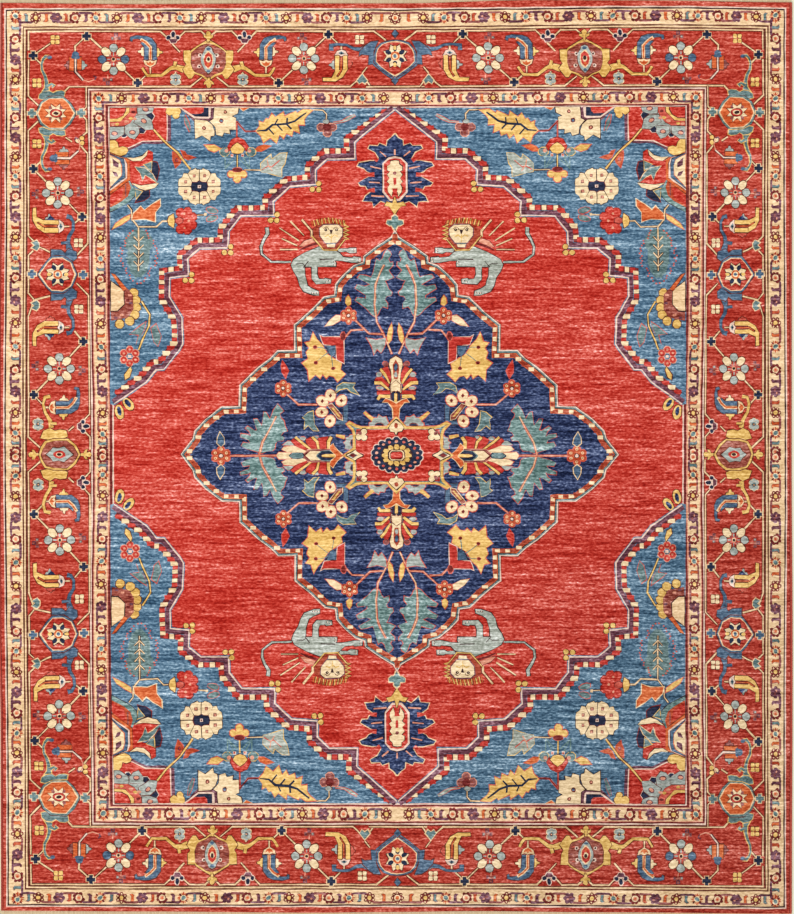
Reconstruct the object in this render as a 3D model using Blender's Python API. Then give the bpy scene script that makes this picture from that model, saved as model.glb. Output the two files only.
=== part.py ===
"""A hand-knotted wool rug that lies flat, pile up.

Metres, +Z up, +Y towards the far end. The origin is under the middle of the rug, on the
surface that it lies on. The rug is a knotted body, an overcast cord along each side, and
at each end a narrow flat-woven web with its knotted fringe.
"""

import random
from collections import namedtuple

import bmesh
import bpy

# Driving sizes
RUG_WIDTH = 2.50
PILE_LENGTH = 2.87
BODY_THICKNESS = 0.009
BODY_ROUNDING = 0.0025
SELVEDGE_DIAMETER = 0.008
PIECE_GAP = 0.0003

WEB_DEPTH = 0.014
WEB_THICKNESS = 0.003
WEB_END_INSET = 0.002
LOCKS_PER_END = 110
LOCK_LENGTH = 0.055
LOCK_LENGTH_SPREAD = 0.10
LOCK_SIDE_LEAN = 0.0045
FRINGE_SEED = 7

OUTLINE_STEPS = 36
ROUNDING_RESOLUTION = 1
CORD_RESOLUTION = 2

BODY_HALF_WIDTH = RUG_WIDTH / 2 - SELVEDGE_DIAMETER - PIECE_GAP
HALF_LENGTH = PILE_LENGTH / 2

# How far an edge wanders outwards from a straight line. share runs from 0 to 1: left to
# right on the near and far ends, near to far on the two sides.
EdgePoint = namedtuple("EdgePoint", "share outward")
NEAR_END = [
    EdgePoint(0.00, -0.0047),
    EdgePoint(0.17, -0.0025),
    EdgePoint(0.40, 0.0016),
    EdgePoint(0.49, -0.0006),
    EdgePoint(0.60, -0.0035),
    EdgePoint(0.76, 0.0003),
    EdgePoint(1.00, 0.0047),
]
FAR_END = [
    EdgePoint(0.00, -0.0028),
    EdgePoint(0.16, -0.0069),
    EdgePoint(0.34, -0.0044),
    EdgePoint(0.50, -0.0045),
    EdgePoint(0.68, 0.0063),
    EdgePoint(0.81, 0.0053),
    EdgePoint(1.00, -0.0009),
]
LEFT_SIDE = [
    EdgePoint(0.00, -0.0050),
    EdgePoint(0.20, -0.0035),
    EdgePoint(0.32, 0.0022),
    EdgePoint(0.60, 0.0038),
    EdgePoint(0.86, -0.0009),
    EdgePoint(1.00, -0.0025),
]
RIGHT_SIDE = [
    EdgePoint(0.00, 0.0000),
    EdgePoint(0.29, 0.0025),
    EdgePoint(0.50, -0.0006),
    EdgePoint(1.00, 0.0010),
]

# One lock of the fringe, from its root outwards, as shares of the lock's length.
LockSection = namedtuple("LockSection", "reach width height")
LOCK_ROOT_WIDTH = 0.0055
LOCK_SECTIONS = [
    LockSection(0.12, 0.0085, 0.0050),
    LockSection(0.24, 0.0055, 0.0034),
    LockSection(1.00, 0.0080, 0.0022),
]

# Name, base colour and roughness of each sub-part's wool or cotton
RED_WOOL = ("pile_wool", (0.50, 0.045, 0.035, 1.0), 0.95)
SELVEDGE_WOOL = ("selvedge_wool", (0.30, 0.028, 0.022, 1.0), 0.92)
WARP_COTTON = ("warp_cotton", (0.72, 0.62, 0.42, 1.0), 0.95)


def clear_scene():
    for old in list(bpy.data.objects):
        bpy.data.objects.remove(old)


def wander(edge, share):
    """How far outwards an edge lies at this share of its length, easing between its points."""
    share = min(max(share, edge[0].share), edge[-1].share)
    for start, end in zip(edge, edge[1:]):
        if share <= end.share:
            t = (share - start.share) / (end.share - start.share)
            ease = t * t * (3 - 2 * t)
            return start.outward + ease * (end.outward - start.outward)
    return edge[-1].outward


def lerp(start, end, share):
    return start + (end - start) * share


def side_x(side, share):
    """Where the knotted body's side lies; side is -1 on the left and 1 on the right."""
    edge = RIGHT_SIDE if side > 0 else LEFT_SIDE
    return side * (BODY_HALF_WIDTH + wander(edge, share))


def end_y(end, x):
    """Where the knotted body ends at this x; end is -1 near and 1 far."""
    edge = FAR_END if end > 0 else NEAR_END
    share = (x + BODY_HALF_WIDTH) / (2 * BODY_HALF_WIDTH)
    return end * (HALF_LENGTH + wander(edge, share))


def corner(side, end):
    x = side_x(side, 1.0 if end > 0 else 0.0)
    return x, end_y(end, x)


def side_points(side):
    """Points up one side of the body, from its near corner to its far one."""
    near, far = corner(side, -1), corner(side, 1)
    shares = [i / OUTLINE_STEPS for i in range(OUTLINE_STEPS + 1)]
    return [(side_x(side, share), lerp(near[1], far[1], share)) for share in shares]


def end_points(end):
    """Points along one end of the body, from its left corner to its right one."""
    left, right = corner(-1, end), corner(1, end)
    xs = [lerp(left[0], right[0], i / OUTLINE_STEPS) for i in range(OUTLINE_STEPS + 1)]
    return [(x, end_y(end, x)) for x in xs]


def body_outline():
    """The body's outline, counter-clockwise from its near left corner."""
    near, right = end_points(-1), side_points(1)
    far, left = end_points(1)[::-1], side_points(-1)[::-1]
    return near[:-1] + right[:-1] + far[:-1] + left[:-1]


def make_material(recipe):
    name, colour, roughness = recipe
    material = bpy.data.materials.new(name)
    material.use_nodes = True
    shader = material.node_tree.nodes["Principled BSDF"]
    shader.inputs["Base Color"].default_value = colour
    shader.inputs["Roughness"].default_value = roughness
    shader.inputs["Metallic"].default_value = 0.0
    material.diffuse_color = colour
    return material


def add_object(name, data, material, collection):
    data.materials.append(material)
    added = bpy.data.objects.new(name, data)
    collection.objects.link(added)
    return added


def poly_spline(curve, points, closed):
    spline = curve.splines.new("POLY")
    spline.points.add(len(points) - 1)
    for target, point in zip(spline.points, points):
        target.co = (*point, 1.0)
    spline.use_cyclic_u = closed


def knotted_body(collection, material):
    """The flat slab of foundation and pile, with rounded edges."""
    curve = bpy.data.curves.new("knotted_body", "CURVE")
    curve.dimensions = "2D"
    curve.fill_mode = "BOTH"
    curve.extrude = BODY_THICKNESS / 2 - BODY_ROUNDING
    curve.bevel_depth = BODY_ROUNDING
    curve.offset = -BODY_ROUNDING
    curve.bevel_resolution = ROUNDING_RESOLUTION
    poly_spline(curve, [(x, y, 0.0) for x, y in body_outline()], closed=True)
    body = add_object("knotted_body", curve, material, collection)
    body.location.z = BODY_THICKNESS / 2


def selvedge(name, side, collection, material):
    """The overcast cord that binds one side of the body."""
    radius = SELVEDGE_DIAMETER / 2
    out = side * (PIECE_GAP + radius)
    curve = bpy.data.curves.new(name, "CURVE")
    curve.dimensions = "3D"
    curve.bevel_depth = radius
    curve.bevel_resolution = CORD_RESOLUTION
    curve.use_fill_caps = True
    poly_spline(curve, [(x + out, y, 0.0) for x, y in side_points(side)], closed=False)
    cord = add_object(name, curve, material, collection)
    cord.location.z = radius


def lock_centres():
    half = RUG_WIDTH / 2 - WEB_END_INSET
    pitch = 2 * half / LOCKS_PER_END
    return [-half + (i + 0.5) * pitch for i in range(LOCKS_PER_END)]


def web_columns():
    """The x of each cut across the web: its two ends, and both sides of every lock's root."""
    half = RUG_WIDTH / 2 - WEB_END_INSET
    roots = [x + s * LOCK_ROOT_WIDTH / 2 for x in lock_centres() for s in (-1, 1)]
    return [-half, *roots, half]


def flat_web(end):
    """A bmesh of the flat-woven web at one end, lying on the floor against the body."""
    columns = web_columns()
    web = bmesh.new()
    bmesh.ops.create_grid(web, x_segments=len(columns) - 1, y_segments=1, size=0.5)
    web.verts.ensure_lookup_table()
    for vert in web.verts:
        x = columns[round((vert.co.x + 0.5) * (len(columns) - 1))]
        across = vert.co.y + 0.5 if end > 0 else 0.5 - vert.co.y
        vert.co = (x, end_y(end, x) + end * (PIECE_GAP + across * WEB_DEPTH), 0.0)
    bmesh.ops.recalc_face_normals(web, faces=web.faces)
    raised = bmesh.ops.extrude_face_region(web, geom=web.faces[:])["geom"]
    for vert in (item for item in raised if isinstance(item, bmesh.types.BMVert)):
        vert.co.z = WEB_THICKNESS
    bmesh.ops.recalc_face_normals(web, faces=web.faces)
    return web


def root_faces(web, end):
    """The web's outer faces that a lock grows from, from left to right."""
    widest = LOCK_ROOT_WIDTH * 1.01
    outer = []
    for face in web.faces:
        xs = [vert.co.x for vert in face.verts]
        if face.normal.y * end > 0.9 and max(xs) - min(xs) < widest:
            outer.append(face)
    return sorted(outer, key=lambda face: face.calc_center_median().x)


def grow_lock(web, face, end, length, lean):
    """Extrudes one lock out of its root, level with the floor along its underside."""
    centre = face.calc_center_median()
    for section in LOCK_SECTIONS:
        extruded = bmesh.ops.extrude_discrete_faces(web, faces=[face])
        face = extruded["faces"][0]
        middle = face.calc_center_median()
        for vert in face.verts:
            side = 1 if vert.co.x > middle.x else -1
            upper = vert.co.z > middle.z
            vert.co.x = centre.x + lean * section.reach**2 + side * section.width / 2
            vert.co.y = centre.y + end * length * section.reach
            vert.co.z = section.height if upper else 0.0


def end_fringe(name, end, collection, material, draw):
    """The web at one end, and the knotted locks of warp that grow out of it."""
    web = flat_web(end)
    for face in root_faces(web, end):
        length = LOCK_LENGTH * (1 + draw.uniform(-1, 1) * LOCK_LENGTH_SPREAD)
        lean = draw.uniform(-1, 1) * LOCK_SIDE_LEAN
        grow_lock(web, face, end, length, lean)
    bmesh.ops.recalc_face_normals(web, faces=web.faces)
    mesh = bpy.data.meshes.new(name)
    web.to_mesh(mesh)
    web.free()
    add_object(name, mesh, material, collection)


def main():
    clear_scene()
    collection = bpy.data.collections.new("afghan_rug")
    bpy.context.scene.collection.children.link(collection)
    draw = random.Random(FRINGE_SEED)
    wool = make_material(SELVEDGE_WOOL)
    cotton = make_material(WARP_COTTON)
    knotted_body(collection, make_material(RED_WOOL))
    selvedge("selvedge_left", -1, collection, wool)
    selvedge("selvedge_right", 1, collection, wool)
    end_fringe("fringe_near", -1, collection, cotton, draw)
    end_fringe("fringe_far", 1, collection, cotton, draw)


main()
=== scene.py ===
"""The looks of the afghan rug: knotted pile, overcast sides, woven webs and twisted fringe.

The design is charted in steps counted from the rug's far left corner, x to the
right and y towards the near end. One quarter is drawn and mirrored, then the weaver's
drift moves it a little off square.
"""

import math
import random
from collections import namedtuple

import bpy
import numpy as np
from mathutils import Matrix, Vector
from mathutils.geometry import delaunay_2d_cdt


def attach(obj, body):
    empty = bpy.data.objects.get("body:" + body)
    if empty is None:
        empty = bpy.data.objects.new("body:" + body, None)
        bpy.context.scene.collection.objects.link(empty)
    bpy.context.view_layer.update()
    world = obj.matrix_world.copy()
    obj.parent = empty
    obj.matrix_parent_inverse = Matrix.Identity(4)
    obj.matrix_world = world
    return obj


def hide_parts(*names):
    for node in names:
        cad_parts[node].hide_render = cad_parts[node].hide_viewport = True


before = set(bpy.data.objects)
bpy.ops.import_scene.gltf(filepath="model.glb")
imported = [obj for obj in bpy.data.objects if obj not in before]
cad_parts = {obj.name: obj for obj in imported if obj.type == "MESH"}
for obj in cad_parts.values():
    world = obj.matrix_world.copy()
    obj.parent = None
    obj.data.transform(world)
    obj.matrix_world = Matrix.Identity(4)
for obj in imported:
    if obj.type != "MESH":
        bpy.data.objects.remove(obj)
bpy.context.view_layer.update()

# Sizes in metres
RUG_WIDTH = 2.50
PILE_LENGTH = 2.87
BODY_THICKNESS = 0.009
SELVEDGE_DIAMETER = 0.008
PIECE_GAP = 0.0003
BODY_HALF_WIDTH = RUG_WIDTH / 2 - SELVEDGE_DIAMETER - PIECE_GAP
HALF_LENGTH = PILE_LENGTH / 2

# The chart: one step, and where the rug's middle falls on it
STEP = RUG_WIDTH / 793
ORIGIN_X, ORIGIN_Y = 395.6, 457.1
MID_X, MID_Y = 395.0, 454.5
LONGEST_EDGE = 9.0
WOOL_WAVER = 0.26

Patch = namedtuple("Patch", "points wool")

# Each dyed wool: red, green and blue as seen, and how unevenly it took the dye
WOOLS = {
    "red": (210, 73, 60, 1.0),
    "border_red": (194, 72, 57, 0.9),
    "outer_red": (197, 80, 63, 0.9),
    "navy": (56, 68, 104, 1.0),
    "ink": (46, 52, 74, 0.3),
    "sky": (98, 130, 154, 1.0),
    "cream": (248, 212, 166, 0.4),
    "ivory": (252, 224, 180, 0.35),
    "yellow": (246, 202, 122, 0.45),
    "gold": (236, 192, 112, 0.5),
    "orange": (222, 112, 64, 0.6),
    "rust": (202, 92, 60, 0.6),
    "pale": (178, 184, 176, 0.5),
    "blue": (90, 114, 138, 0.6),
    "teal": (116, 140, 140, 0.7),
    "mist": (184, 189, 177, 0.8),
    "leaf": (128, 156, 152, 1.0),
    "mauve": (122, 76, 88, 0.8),
    "plum": (156, 92, 88, 0.6),
    "maroon": (126, 48, 46, 0.4),
    "brick": (178, 78, 56, 0.6),
    "brown": (108, 52, 40, 0.3),
    "dark": (70, 44, 44, 0.2),
    "dusty": (168, 92, 78, 0.9),
    "pink": (236, 164, 136, 0.5),
    "coral": (218, 104, 88, 0.5),
    "check_red": (206, 70, 60, 0.5),
    "white": (246, 214, 194, 0.3),
}

# Edge wander of the knotted body, as in the CAD: share of the edge and metres outwards
NEAR_END = [(0.00, -0.0047), (0.17, -0.0025), (0.40, 0.0016), (0.49, -0.0006), (0.60, -0.0035),
            (0.76, 0.0003), (1.00, 0.0047)]
FAR_END = [(0.00, -0.0028), (0.16, -0.0069), (0.34, -0.0044), (0.50, -0.0045), (0.68, 0.0063),
           (0.81, 0.0053), (1.00, -0.0009)]
LEFT_SIDE = [(0.00, -0.0050), (0.20, -0.0035), (0.32, 0.0022), (0.60, 0.0038), (0.86, -0.0009),
             (1.00, -0.0025)]
RIGHT_SIDE = [(0.00, 0.0000), (0.29, 0.0025), (0.50, -0.0006), (1.00, 0.0010)]
OUTLINE_STEPS = 36


# Drawing kit

def circle(x, y, radius, wool, sides=10):
    return oval(x, y, radius, radius, wool, sides)


def oval(x, y, across, down, wool, sides=10, turn=0.0):
    c, s = math.cos(math.radians(turn)), math.sin(math.radians(turn))
    points = []
    for i in range(sides):
        a = 2 * math.pi * (i + 0.5) / sides
        u, v = across * math.cos(a), down * math.sin(a)
        points.append((x + u * c - v * s, y + u * s + v * c))
    return Patch(points, wool)


def box(left, top, right, bottom, wool):
    return Patch([(left, top), (right, top), (right, bottom), (left, bottom)], wool)


def signed_area(points):
    return sum(a[0] * b[1] - b[0] * a[1] for a, b in zip(points, points[1:] + points[:1])) / 2


def side_of(a, b):
    """The unit vector to the left of the way from a to b, y down."""
    dx, dy = b[0] - a[0], b[1] - a[1]
    length = math.hypot(dx, dy) or 1.0
    return dy / length, -dx / length


def shifted(points, by, closed):
    """The points moved sideways by a distance, or one per point, with limited corners."""
    count = len(points)
    widths = by if isinstance(by, (list, tuple)) else [by] * count
    moved_points = []
    for i, (point, width) in enumerate(zip(points, widths)):
        sides = []
        if closed or i > 0:
            sides.append(side_of(points[i - 1], point))
        if closed or i < count - 1:
            sides.append(side_of(point, points[(i + 1) % count]))
        sx, sy = sum(s[0] for s in sides), sum(s[1] for s in sides)
        length = math.hypot(sx, sy)
        if length < 0.3:
            sx, sy, length = sides[-1][0], sides[-1][1], 1.0
            stretch = 1.0
        else:
            cosine = length / len(sides)
            stretch = min(1 / max(cosine, 0.2), 2.0)
        moved_points.append((point[0] + sx / length * stretch * width,
                             point[1] + sy / length * stretch * width))
    return moved_points


def grown(points, by):
    return shifted(points, by if signed_area(points) > 0 else -by, closed=True)


def edged(points, wool, edge="brown", by=0.8):
    return [Patch(grown(points, by), edge), Patch(points, wool)]


def edge_round(patches, edge="brown", by=0.8):
    """An edge laid beneath several patches."""
    return [Patch(grown(p.points, by), edge) for p in patches] + patches


def ribbon(points, width):
    half = [w / 2 for w in width] if isinstance(width, (list, tuple)) else width / 2
    back = [-w for w in half] if isinstance(half, list) else -half
    return shifted(points, half, False) + shifted(points, back, False)[::-1]


def band(points, wool, width):
    return Patch(ribbon(points, width), wool)


def line(points, wool="cream", width=1.3, edge="brown", by=0.75):
    if edge is None:
        return [band(points, wool, width)]
    wide = [w + 2 * by for w in width] if isinstance(width, (list, tuple)) else width + 2 * by
    return [band(points, edge, wide), band(points, wool, width)]


def placed(patches, x=0.0, y=0.0, turn=0.0, size=1.0, flip=False):
    """The patches, flipped left to right, sized, turned clockwise and moved."""
    c, s = math.cos(math.radians(turn)), math.sin(math.radians(turn))
    made = []
    for patch in patches:
        points = []
        for u, v in patch.points:
            u, v = (-u if flip else u) * size, v * size
            points.append((x + u * c - v * s, y + u * s + v * c))
        made.append(Patch(points, patch.wool))
    return made


def mirrored(patches, x=None, y=None):
    made = []
    for patch in patches:
        points = patch.points
        if x is not None:
            points = [(2 * x - u, v) for u, v in points]
        if y is not None:
            points = [(u, 2 * y - v) for u, v in points]
        made.append(Patch(points, patch.wool))
    return made


def swapped(patches):
    """Across made down, so that a run along the top also serves a side."""
    return [Patch([(v, u) for u, v in patch.points], patch.wool) for patch in patches]


def whole(half, x=None, y=None):
    """A closed outline from its half, which runs from the mirror line back to it."""
    if x is not None:
        return half + [(2 * x - u, v) for u, v in half[::-1]]
    return half + [(u, 2 * y - v) for u, v in half[::-1]]


def petals(count, reach, across, down, wool, start=0.0, sides=8):
    """Ovals round the origin, each pointing outwards."""
    made = []
    for i in range(count):
        a = start + 360 * i / count
        c, s = math.cos(math.radians(a)), math.sin(math.radians(a))
        made.append(oval(reach * c, reach * s, down, across, wool, sides, a))
    return made


# Grounds and lines of the borders, nested from the outside in: left, top and wool
GROUNDS = [
    (4.4, 8.2, "white"),
    (5.6, 9.5, "dark"),
    (7.0, 11.0, "cream"),
    (22.7, 26.3, "brown"),
    (24.0, 27.7, "cream"),
    (25.5, 29.2, "brown"),
    (27.2, 30.4, "border_red"),
    (87.6, 87.9, "brown"),
    (88.5, 88.9, "white"),
    (89.8, 90.1, "maroon"),
    (91.6, 91.6, "pink"),
    (92.5, 92.3, "cream"),
    (104.6, 104.3, "pink"),
    (106.0, 105.0, "maroon"),
    (108.6, 106.6, "white"),
    (110.0, 107.9, "red"),
]
# How the side lines lean as they go down: y, steps at the outermost line, steps at the field
SIDE_LEAN = [(0, 0.0, -0.6), (108, 0.2, -0.6), (205, 0.2, 1.2), (325, -0.6, 1.6),
             (400, -1.2, 3.8), (454.5, -1.2, 3.9)]


def lean(x, y):
    share = min(max((x - 5) / 105, 0), 1)
    ys = [row[0] for row in SIDE_LEAN]
    outer = np.interp(y, ys, [row[1] for row in SIDE_LEAN])
    inner = np.interp(y, ys, [row[2] for row in SIDE_LEAN])
    return float(outer + (inner - outer) * share)


def nested_frame(left, top, wool):
    ys = [top] + [row[0] for row in SIDE_LEAN if row[0] > top]
    side = [(left + lean(left, y), y) for y in ys]
    down = side + [(x, 2 * MID_Y - y) for x, y in side[::-1][1:]]
    right = [(2 * MID_X - x, y) for x, y in down[::-1]]
    return Patch(down + right, wool)


def grounds():
    return [nested_frame(*ground) for ground in GROUNDS]


# Guard borders: a meander of bars that joins small flowers, with a leaf at each bar

def guard_flower(kind):
    if kind == "blue":
        made = petals(4, 4.1, 1.0, 2.2, "rust", 0, 6) + petals(4, 4.1, 1.1, 2.2, "maroon", 45, 6)
        made += petals(8, 4.4, 0.5, 1.6, "orange", 22.5, 6)
        return made + [circle(0, 0, 3.2, "ivory", 8), oval(0, 0, 2.7, 2.1, "teal", 8, 40)]
    if kind == "yellow":
        made = petals(6, 3.8, 2.3, 2.3, "maroon", 30) + [circle(0, 0, 4.2, "maroon")]
        made += petals(6, 4.2, 0.9, 0.9, "cream", 30, 6)
        return made + [circle(0, 0, 2.9, "brown", 8), circle(0, 0, 2.2, "yellow", 8)]
    if kind == "mauve":
        made = petals(6, 3.6, 2.4, 2.5, "mauve", 0) + [circle(0, 0, 3.6, "mauve", 8)]
        return made + [oval(-1.4, 0.8, 1.8, 1.2, "plum", 6), oval(1.6, -1, 1.3, 0.9, "pink", 6)]
    if kind == "centre":
        made = petals(8, 4.6, 2.1, 2.1, "maroon") + petals(8, 4.9, 0.8, 0.8, "cream", 0, 6)
        return made + [circle(0, 0, 3.1, "ivory"), circle(0, 0, 1.9, "orange", 8)]
    made = petals(8, 4.2, 1.9, 2.1, "maroon", 22.5)[1:] + [circle(0, 0, 4.2, "maroon")]
    return made + [circle(0, 0, 3.4, "ivory"), circle(0, 0, 2.4, "pink", 8), circle(0, 0, 1.3, "orange", 6)]


def guard_leaf(wool, hangs):
    """A small hooked leaf that stands on its bar, or hangs from it."""
    points = [(-2, 3.6), (0.2, 4.2), (2.1, 2.8), (1.9, -0.4), (2.1, -3.6), (-0.9, -3.6), (-0.5, -0.6),
              (-0.4, 1.8)]
    flip = 1 if hangs else -1
    return edged([(u, v * flip) for u, v in points], wool, "plum", 0.4)


LINK_WOOLS = {"blue": "teal", "yellow": "orange", "mauve": "rust", "pink": "mauve", "centre": "mauve"}


def guard_run(flowers, across, hangs, half=4.7):
    """flowers are (place along the run, kind); bars lie at the near and far edge in turn."""
    made = []
    for (start, kind), (end, _) in zip(flowers, flowers[1:]):
        edge = across - half if hangs else across + half
        wool = "mauve" if kind in ("blue", "pink") else "plum"
        made.append(band([(start + 2, edge + (1.5 if hangs else -1.5)), (start + 5, edge), (end - 5, edge),
                          (end - 2, edge + (1.5 if hangs else -1.5))], wool, 2.3))
        made += placed(guard_leaf(LINK_WOOLS[kind], hangs), (start + end) / 2, across)
        hangs = not hangs
    for place, kind in flowers:
        made += placed(guard_flower(kind), place, across)
    return made


CYCLE = ["blue", "yellow", "mauve", "pink"]
OUTER_TOP = [35.7, 56, 75.2, 95.8, 117, 138, 158.2, 179.8, 201.3, 223.7, 244.4, 265.8, 286.3,
             307.3, 326.5, 346.6, 367.1]
OUTER_LEFT = [39.3, 59.7, 79.7, 99, 117.8, 137.7, 156.8, 176.3, 196.2, 216.9, 237, 257.8, 277.7,
              300.5, 322.9, 346.5, 369.9, 391.5, 412.6, 433, 452]
INNER_TOP = [121.5, 143.7, 165.2, 188.9, 210.8, 233.6, 256, 278.3, 299.3, 320.3, 340.8, 362.2, 383.7]
INNER_LEFT = [117.8, 137.7, 156.4, 176.3, 197.8, 218.6, 237.5, 258.6, 279.3, 301.3, 323.7, 346.9,
              369.4, 391.4, 413, 434, 452]


def named_run(places, first, backwards=False):
    order = CYCLE[::-1] if backwards else CYCLE
    start = order.index(first)
    return [(place, order[(start + i) % 4]) for i, place in enumerate(places)]


def guards_quarter():
    """The guard flowers of one corner and its two arms."""
    made = guard_run([(15.8, "blue")] + named_run(OUTER_TOP, "yellow") + [(MID_X, "centre")], 17.8, False)
    made += guard_run([(98.7, "blue")] + named_run(INNER_TOP, "yellow"), 98.2, False, 4.2)
    outer = [(15.8, "blue")] + named_run(OUTER_LEFT, "pink", True)
    made += swapped(guard_run(outer, 15.4, False))
    inner = [(98.7, "blue")] + named_run(INNER_LEFT, "pink", True)
    leaning = []
    for patch in swapped(guard_run(inner, 99.2, False, 4.2)):
        leaning.append(Patch([(x + lean(99, y), y) for x, y in patch.points], patch.wool))
    return made + leaning


# Main border

def cross(x, y, wool="ink"):
    arm, wide = 4.3, 1.8
    points = [(-wide, -arm), (wide, -arm), (wide, -wide), (arm, -wide), (arm, wide), (wide, wide),
              (wide, arm), (-wide, arm), (-wide, wide), (-arm, wide), (-arm, -wide), (-wide, -wide)]
    return placed(edged(points, wool, "cream", 0.7), x, y)


def four_petals(x, y, wool="yellow"):
    """A small flower of four square petals."""
    petal = [(-2, -1.3), (-1.3, -2), (1.3, -2), (2, -1.3), (2, 1.3), (1.3, 2), (-1.3, 2), (-2, 1.3)]
    made = [circle(0, 0, 3.6, "maroon", 8)]
    for u in (-1, 1):
        for v in (-1, 1):
            made += placed(edged(petal, wool, "brown", 0.5), u * 2.35, v * 2.35)
    return placed(made + [box(-1.2, -0.4, 1.2, 0.4, "brick"), box(-0.4, -1.2, 0.4, 1.2, "brick")], x, y)


def rosette(x, y, side_wool="pale"):
    """Four cream petals on the diagonals and four round ones between."""
    made = []
    for u, v, wool in ((11.4, 0, side_wool), (-11.4, 0, side_wool), (0, 11.4, "pale"), (0, -11.4, "pale")):
        made += edge_round([circle(u, v, 4.1, wool)], "brown", 0.8)
    for turn in (45, 135, 225, 315):
        made += placed(edge_round([oval(0, -10.3, 3.8, 5.3, "ivory", 12)], "brown", 0.8), 0, 0, turn)
    made.append(circle(0, 0, 5.4, "border_red"))
    for turn in range(0, 360, 45):
        made += placed([box(-0.6, -6.4, 0.6, -3.2, "plum" if turn % 90 else "pale")], 0, 0, turn)
    made += [circle(0, 0, 3.0, "coral", 8), circle(0, 0, 2.3, "cream", 8), circle(0, 0, 1.6, "dark", 6)]
    return placed(made, x, y)


def faint_flower(x, y, turn=0):
    """A three-lobed bud in wool close to the ground's."""
    lobes = [box(-5, -1.4, -1.8, 2.2, "plum"), box(1.8, -1.4, 5, 2.2, "plum"), box(-2, -5, 2, -1, "mauve")]
    made = lobes + [box(-2.4, -1.2, 2.4, 1.6, "dusty"), box(-4.2, -0.6, -2.6, 1, "pale"),
                    box(2.6, -0.6, 4.2, 1, "mauve")]
    return placed(made + [box(-0.5, 1.5, 0.5, 5.4, "pink"), box(-0.8, -4.2, 0.8, -2.2, "dusty")], x, y, turn)


def side_lobe(wool, reach=5.4):
    """A stepped lobe on a tulip's side; it points left from the origin."""
    points = [(0, -4.6), (-2.2, -3.4), (-2.2, -1.7), (-reach, -0.6), (-reach, 0.6), (-2.2, 1.7),
              (-2.2, 3.4), (0, 4.6)]
    return edged(points, wool, "brown", 0.6)


def blue_boteh():
    """An upright tulip whose top curls over to the left; its middle is the origin."""
    hook = [(-20.4, -12.5), (-19.8, -16), (-13.8, -17.4), (-4, -17), (1.6, -14.8), (6.1, -8.5), (6.7, 6.7),
            (2.1, 6.7), (2.1, -6.4), (-3.9, -11.8), (-12.3, -14.2), (-17.3, -14.2), (-18.4, -11.6)]
    bar = [(-6, 6.7), (-6.2, -6), (-9.6, -10.2), (-7, -10.8), (-1.8, -6), (-1.8, 6.7)]
    made = edge_round([Patch(hook, "blue"), Patch(bar, "blue")], "brown", 0.7)
    made += [band([(0.1, 6.7), (0.1, -5.6), (-4.2, -10.4), (-10, -14)], "cream", 2.9)]
    made += [band([(0.1, 6.7), (0.1, -5.2), (-4.4, -10), (-9, -13)], "orange", 1.5)]
    base = [(-6.6, 7.2), (-3.2, 8.2), (0, 7.2), (3.2, 8.2), (6.6, 7.2), (5.2, 11.6), (0, 14.4), (-5.2, 11.6)]
    made += edged(base, "cream", "brown", 0.7)
    flame = [(-4.2, 9), (-1.6, 10.2), (0, 8.2), (1.6, 10.2), (4.2, 9), (2.8, 12), (0, 13.4), (-2.8, 12)]
    made += [Patch(flame, "orange")] + line([(0, 14.4), (0, 20.4)])
    made += placed(side_lobe("ivory"), -6.8, -1.3) + placed(side_lobe("yellow"), 6.8, -0.8, 0, 1, True)
    return made


def orange_tulip():
    """A tulip with two orange bars, a blue cap and a bent stem; its middle is the origin."""
    made = edge_round([box(-6, -7, -1.7, 6.6, "orange"), box(1.7, -7, 6, 5.6, "orange")], "brown", 0.7)
    made += line([(0, -7), (0, 7.5), (7.6, 16)], "white", 1.4, "dark", 0.7)
    made += [circle(0, -9.4, 3.6, "blue"),
             Patch([(-4.6, -7.4), (0, -10.4), (4.6, -7.4), (3.4, -5.4), (-3.4, -5.4)], "blue")]
    made += placed(side_lobe("plum", 4.6), -6.6, 1.2) + placed(side_lobe("pale", 5), 6.6, 1.2, 0, 1, True)
    made += [band([(8, 16), (13, 17.4), (19, 15.6)], "pink", 1.0),
             band([(19, 15.6), (20.4, 13), (18, 11.6)], "mauve", 1.4)]
    return made


def yellow_boteh():
    """A tulip with yellow bars and a white cap, its foot bent to the left."""
    made = edge_round([box(-6.0, -7.6, -2.2, 8.6, "yellow"), box(1.8, -7.6, 6.0, 7, "yellow"),
                       Patch([(-6, 8), (6, 7), (1.5, 14.5), (-6, 18.6), (-18, 18.6), (-18.6, 15.4),
                              (-9.4, 15.2)], "yellow")], "brown", 0.8)
    made += [band([(-0.2, -6), (-0.2, 8), (-4.2, 14.4)], "maroon", 2.2),
             band([(-0.2, -5.4), (-0.2, 7.6), (-3.4, 13)], "orange", 1.0)]
    made += edge_round([Patch([(-6.6, -7.2), (-4, -11.6), (0, -13.2), (4, -11.6), (6.6, -7.2), (3, -7.8),
                               (0, -6.2), (-3, -7.8)], "white")], "brown", 0.6)
    made += [Patch([(-3.2, -9.4), (0, -11.4), (3.2, -9.4), (0, -7.8)], "teal"),
             circle(0, -9.4, 1.2, "ink", 6)]
    made += placed(side_lobe("pale"), -7, 2.2) + placed(side_lobe("coral", 4), 7, 1, 0, 1, True)
    made += line([(0, -13.2), (0, -18)])
    return made


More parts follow.
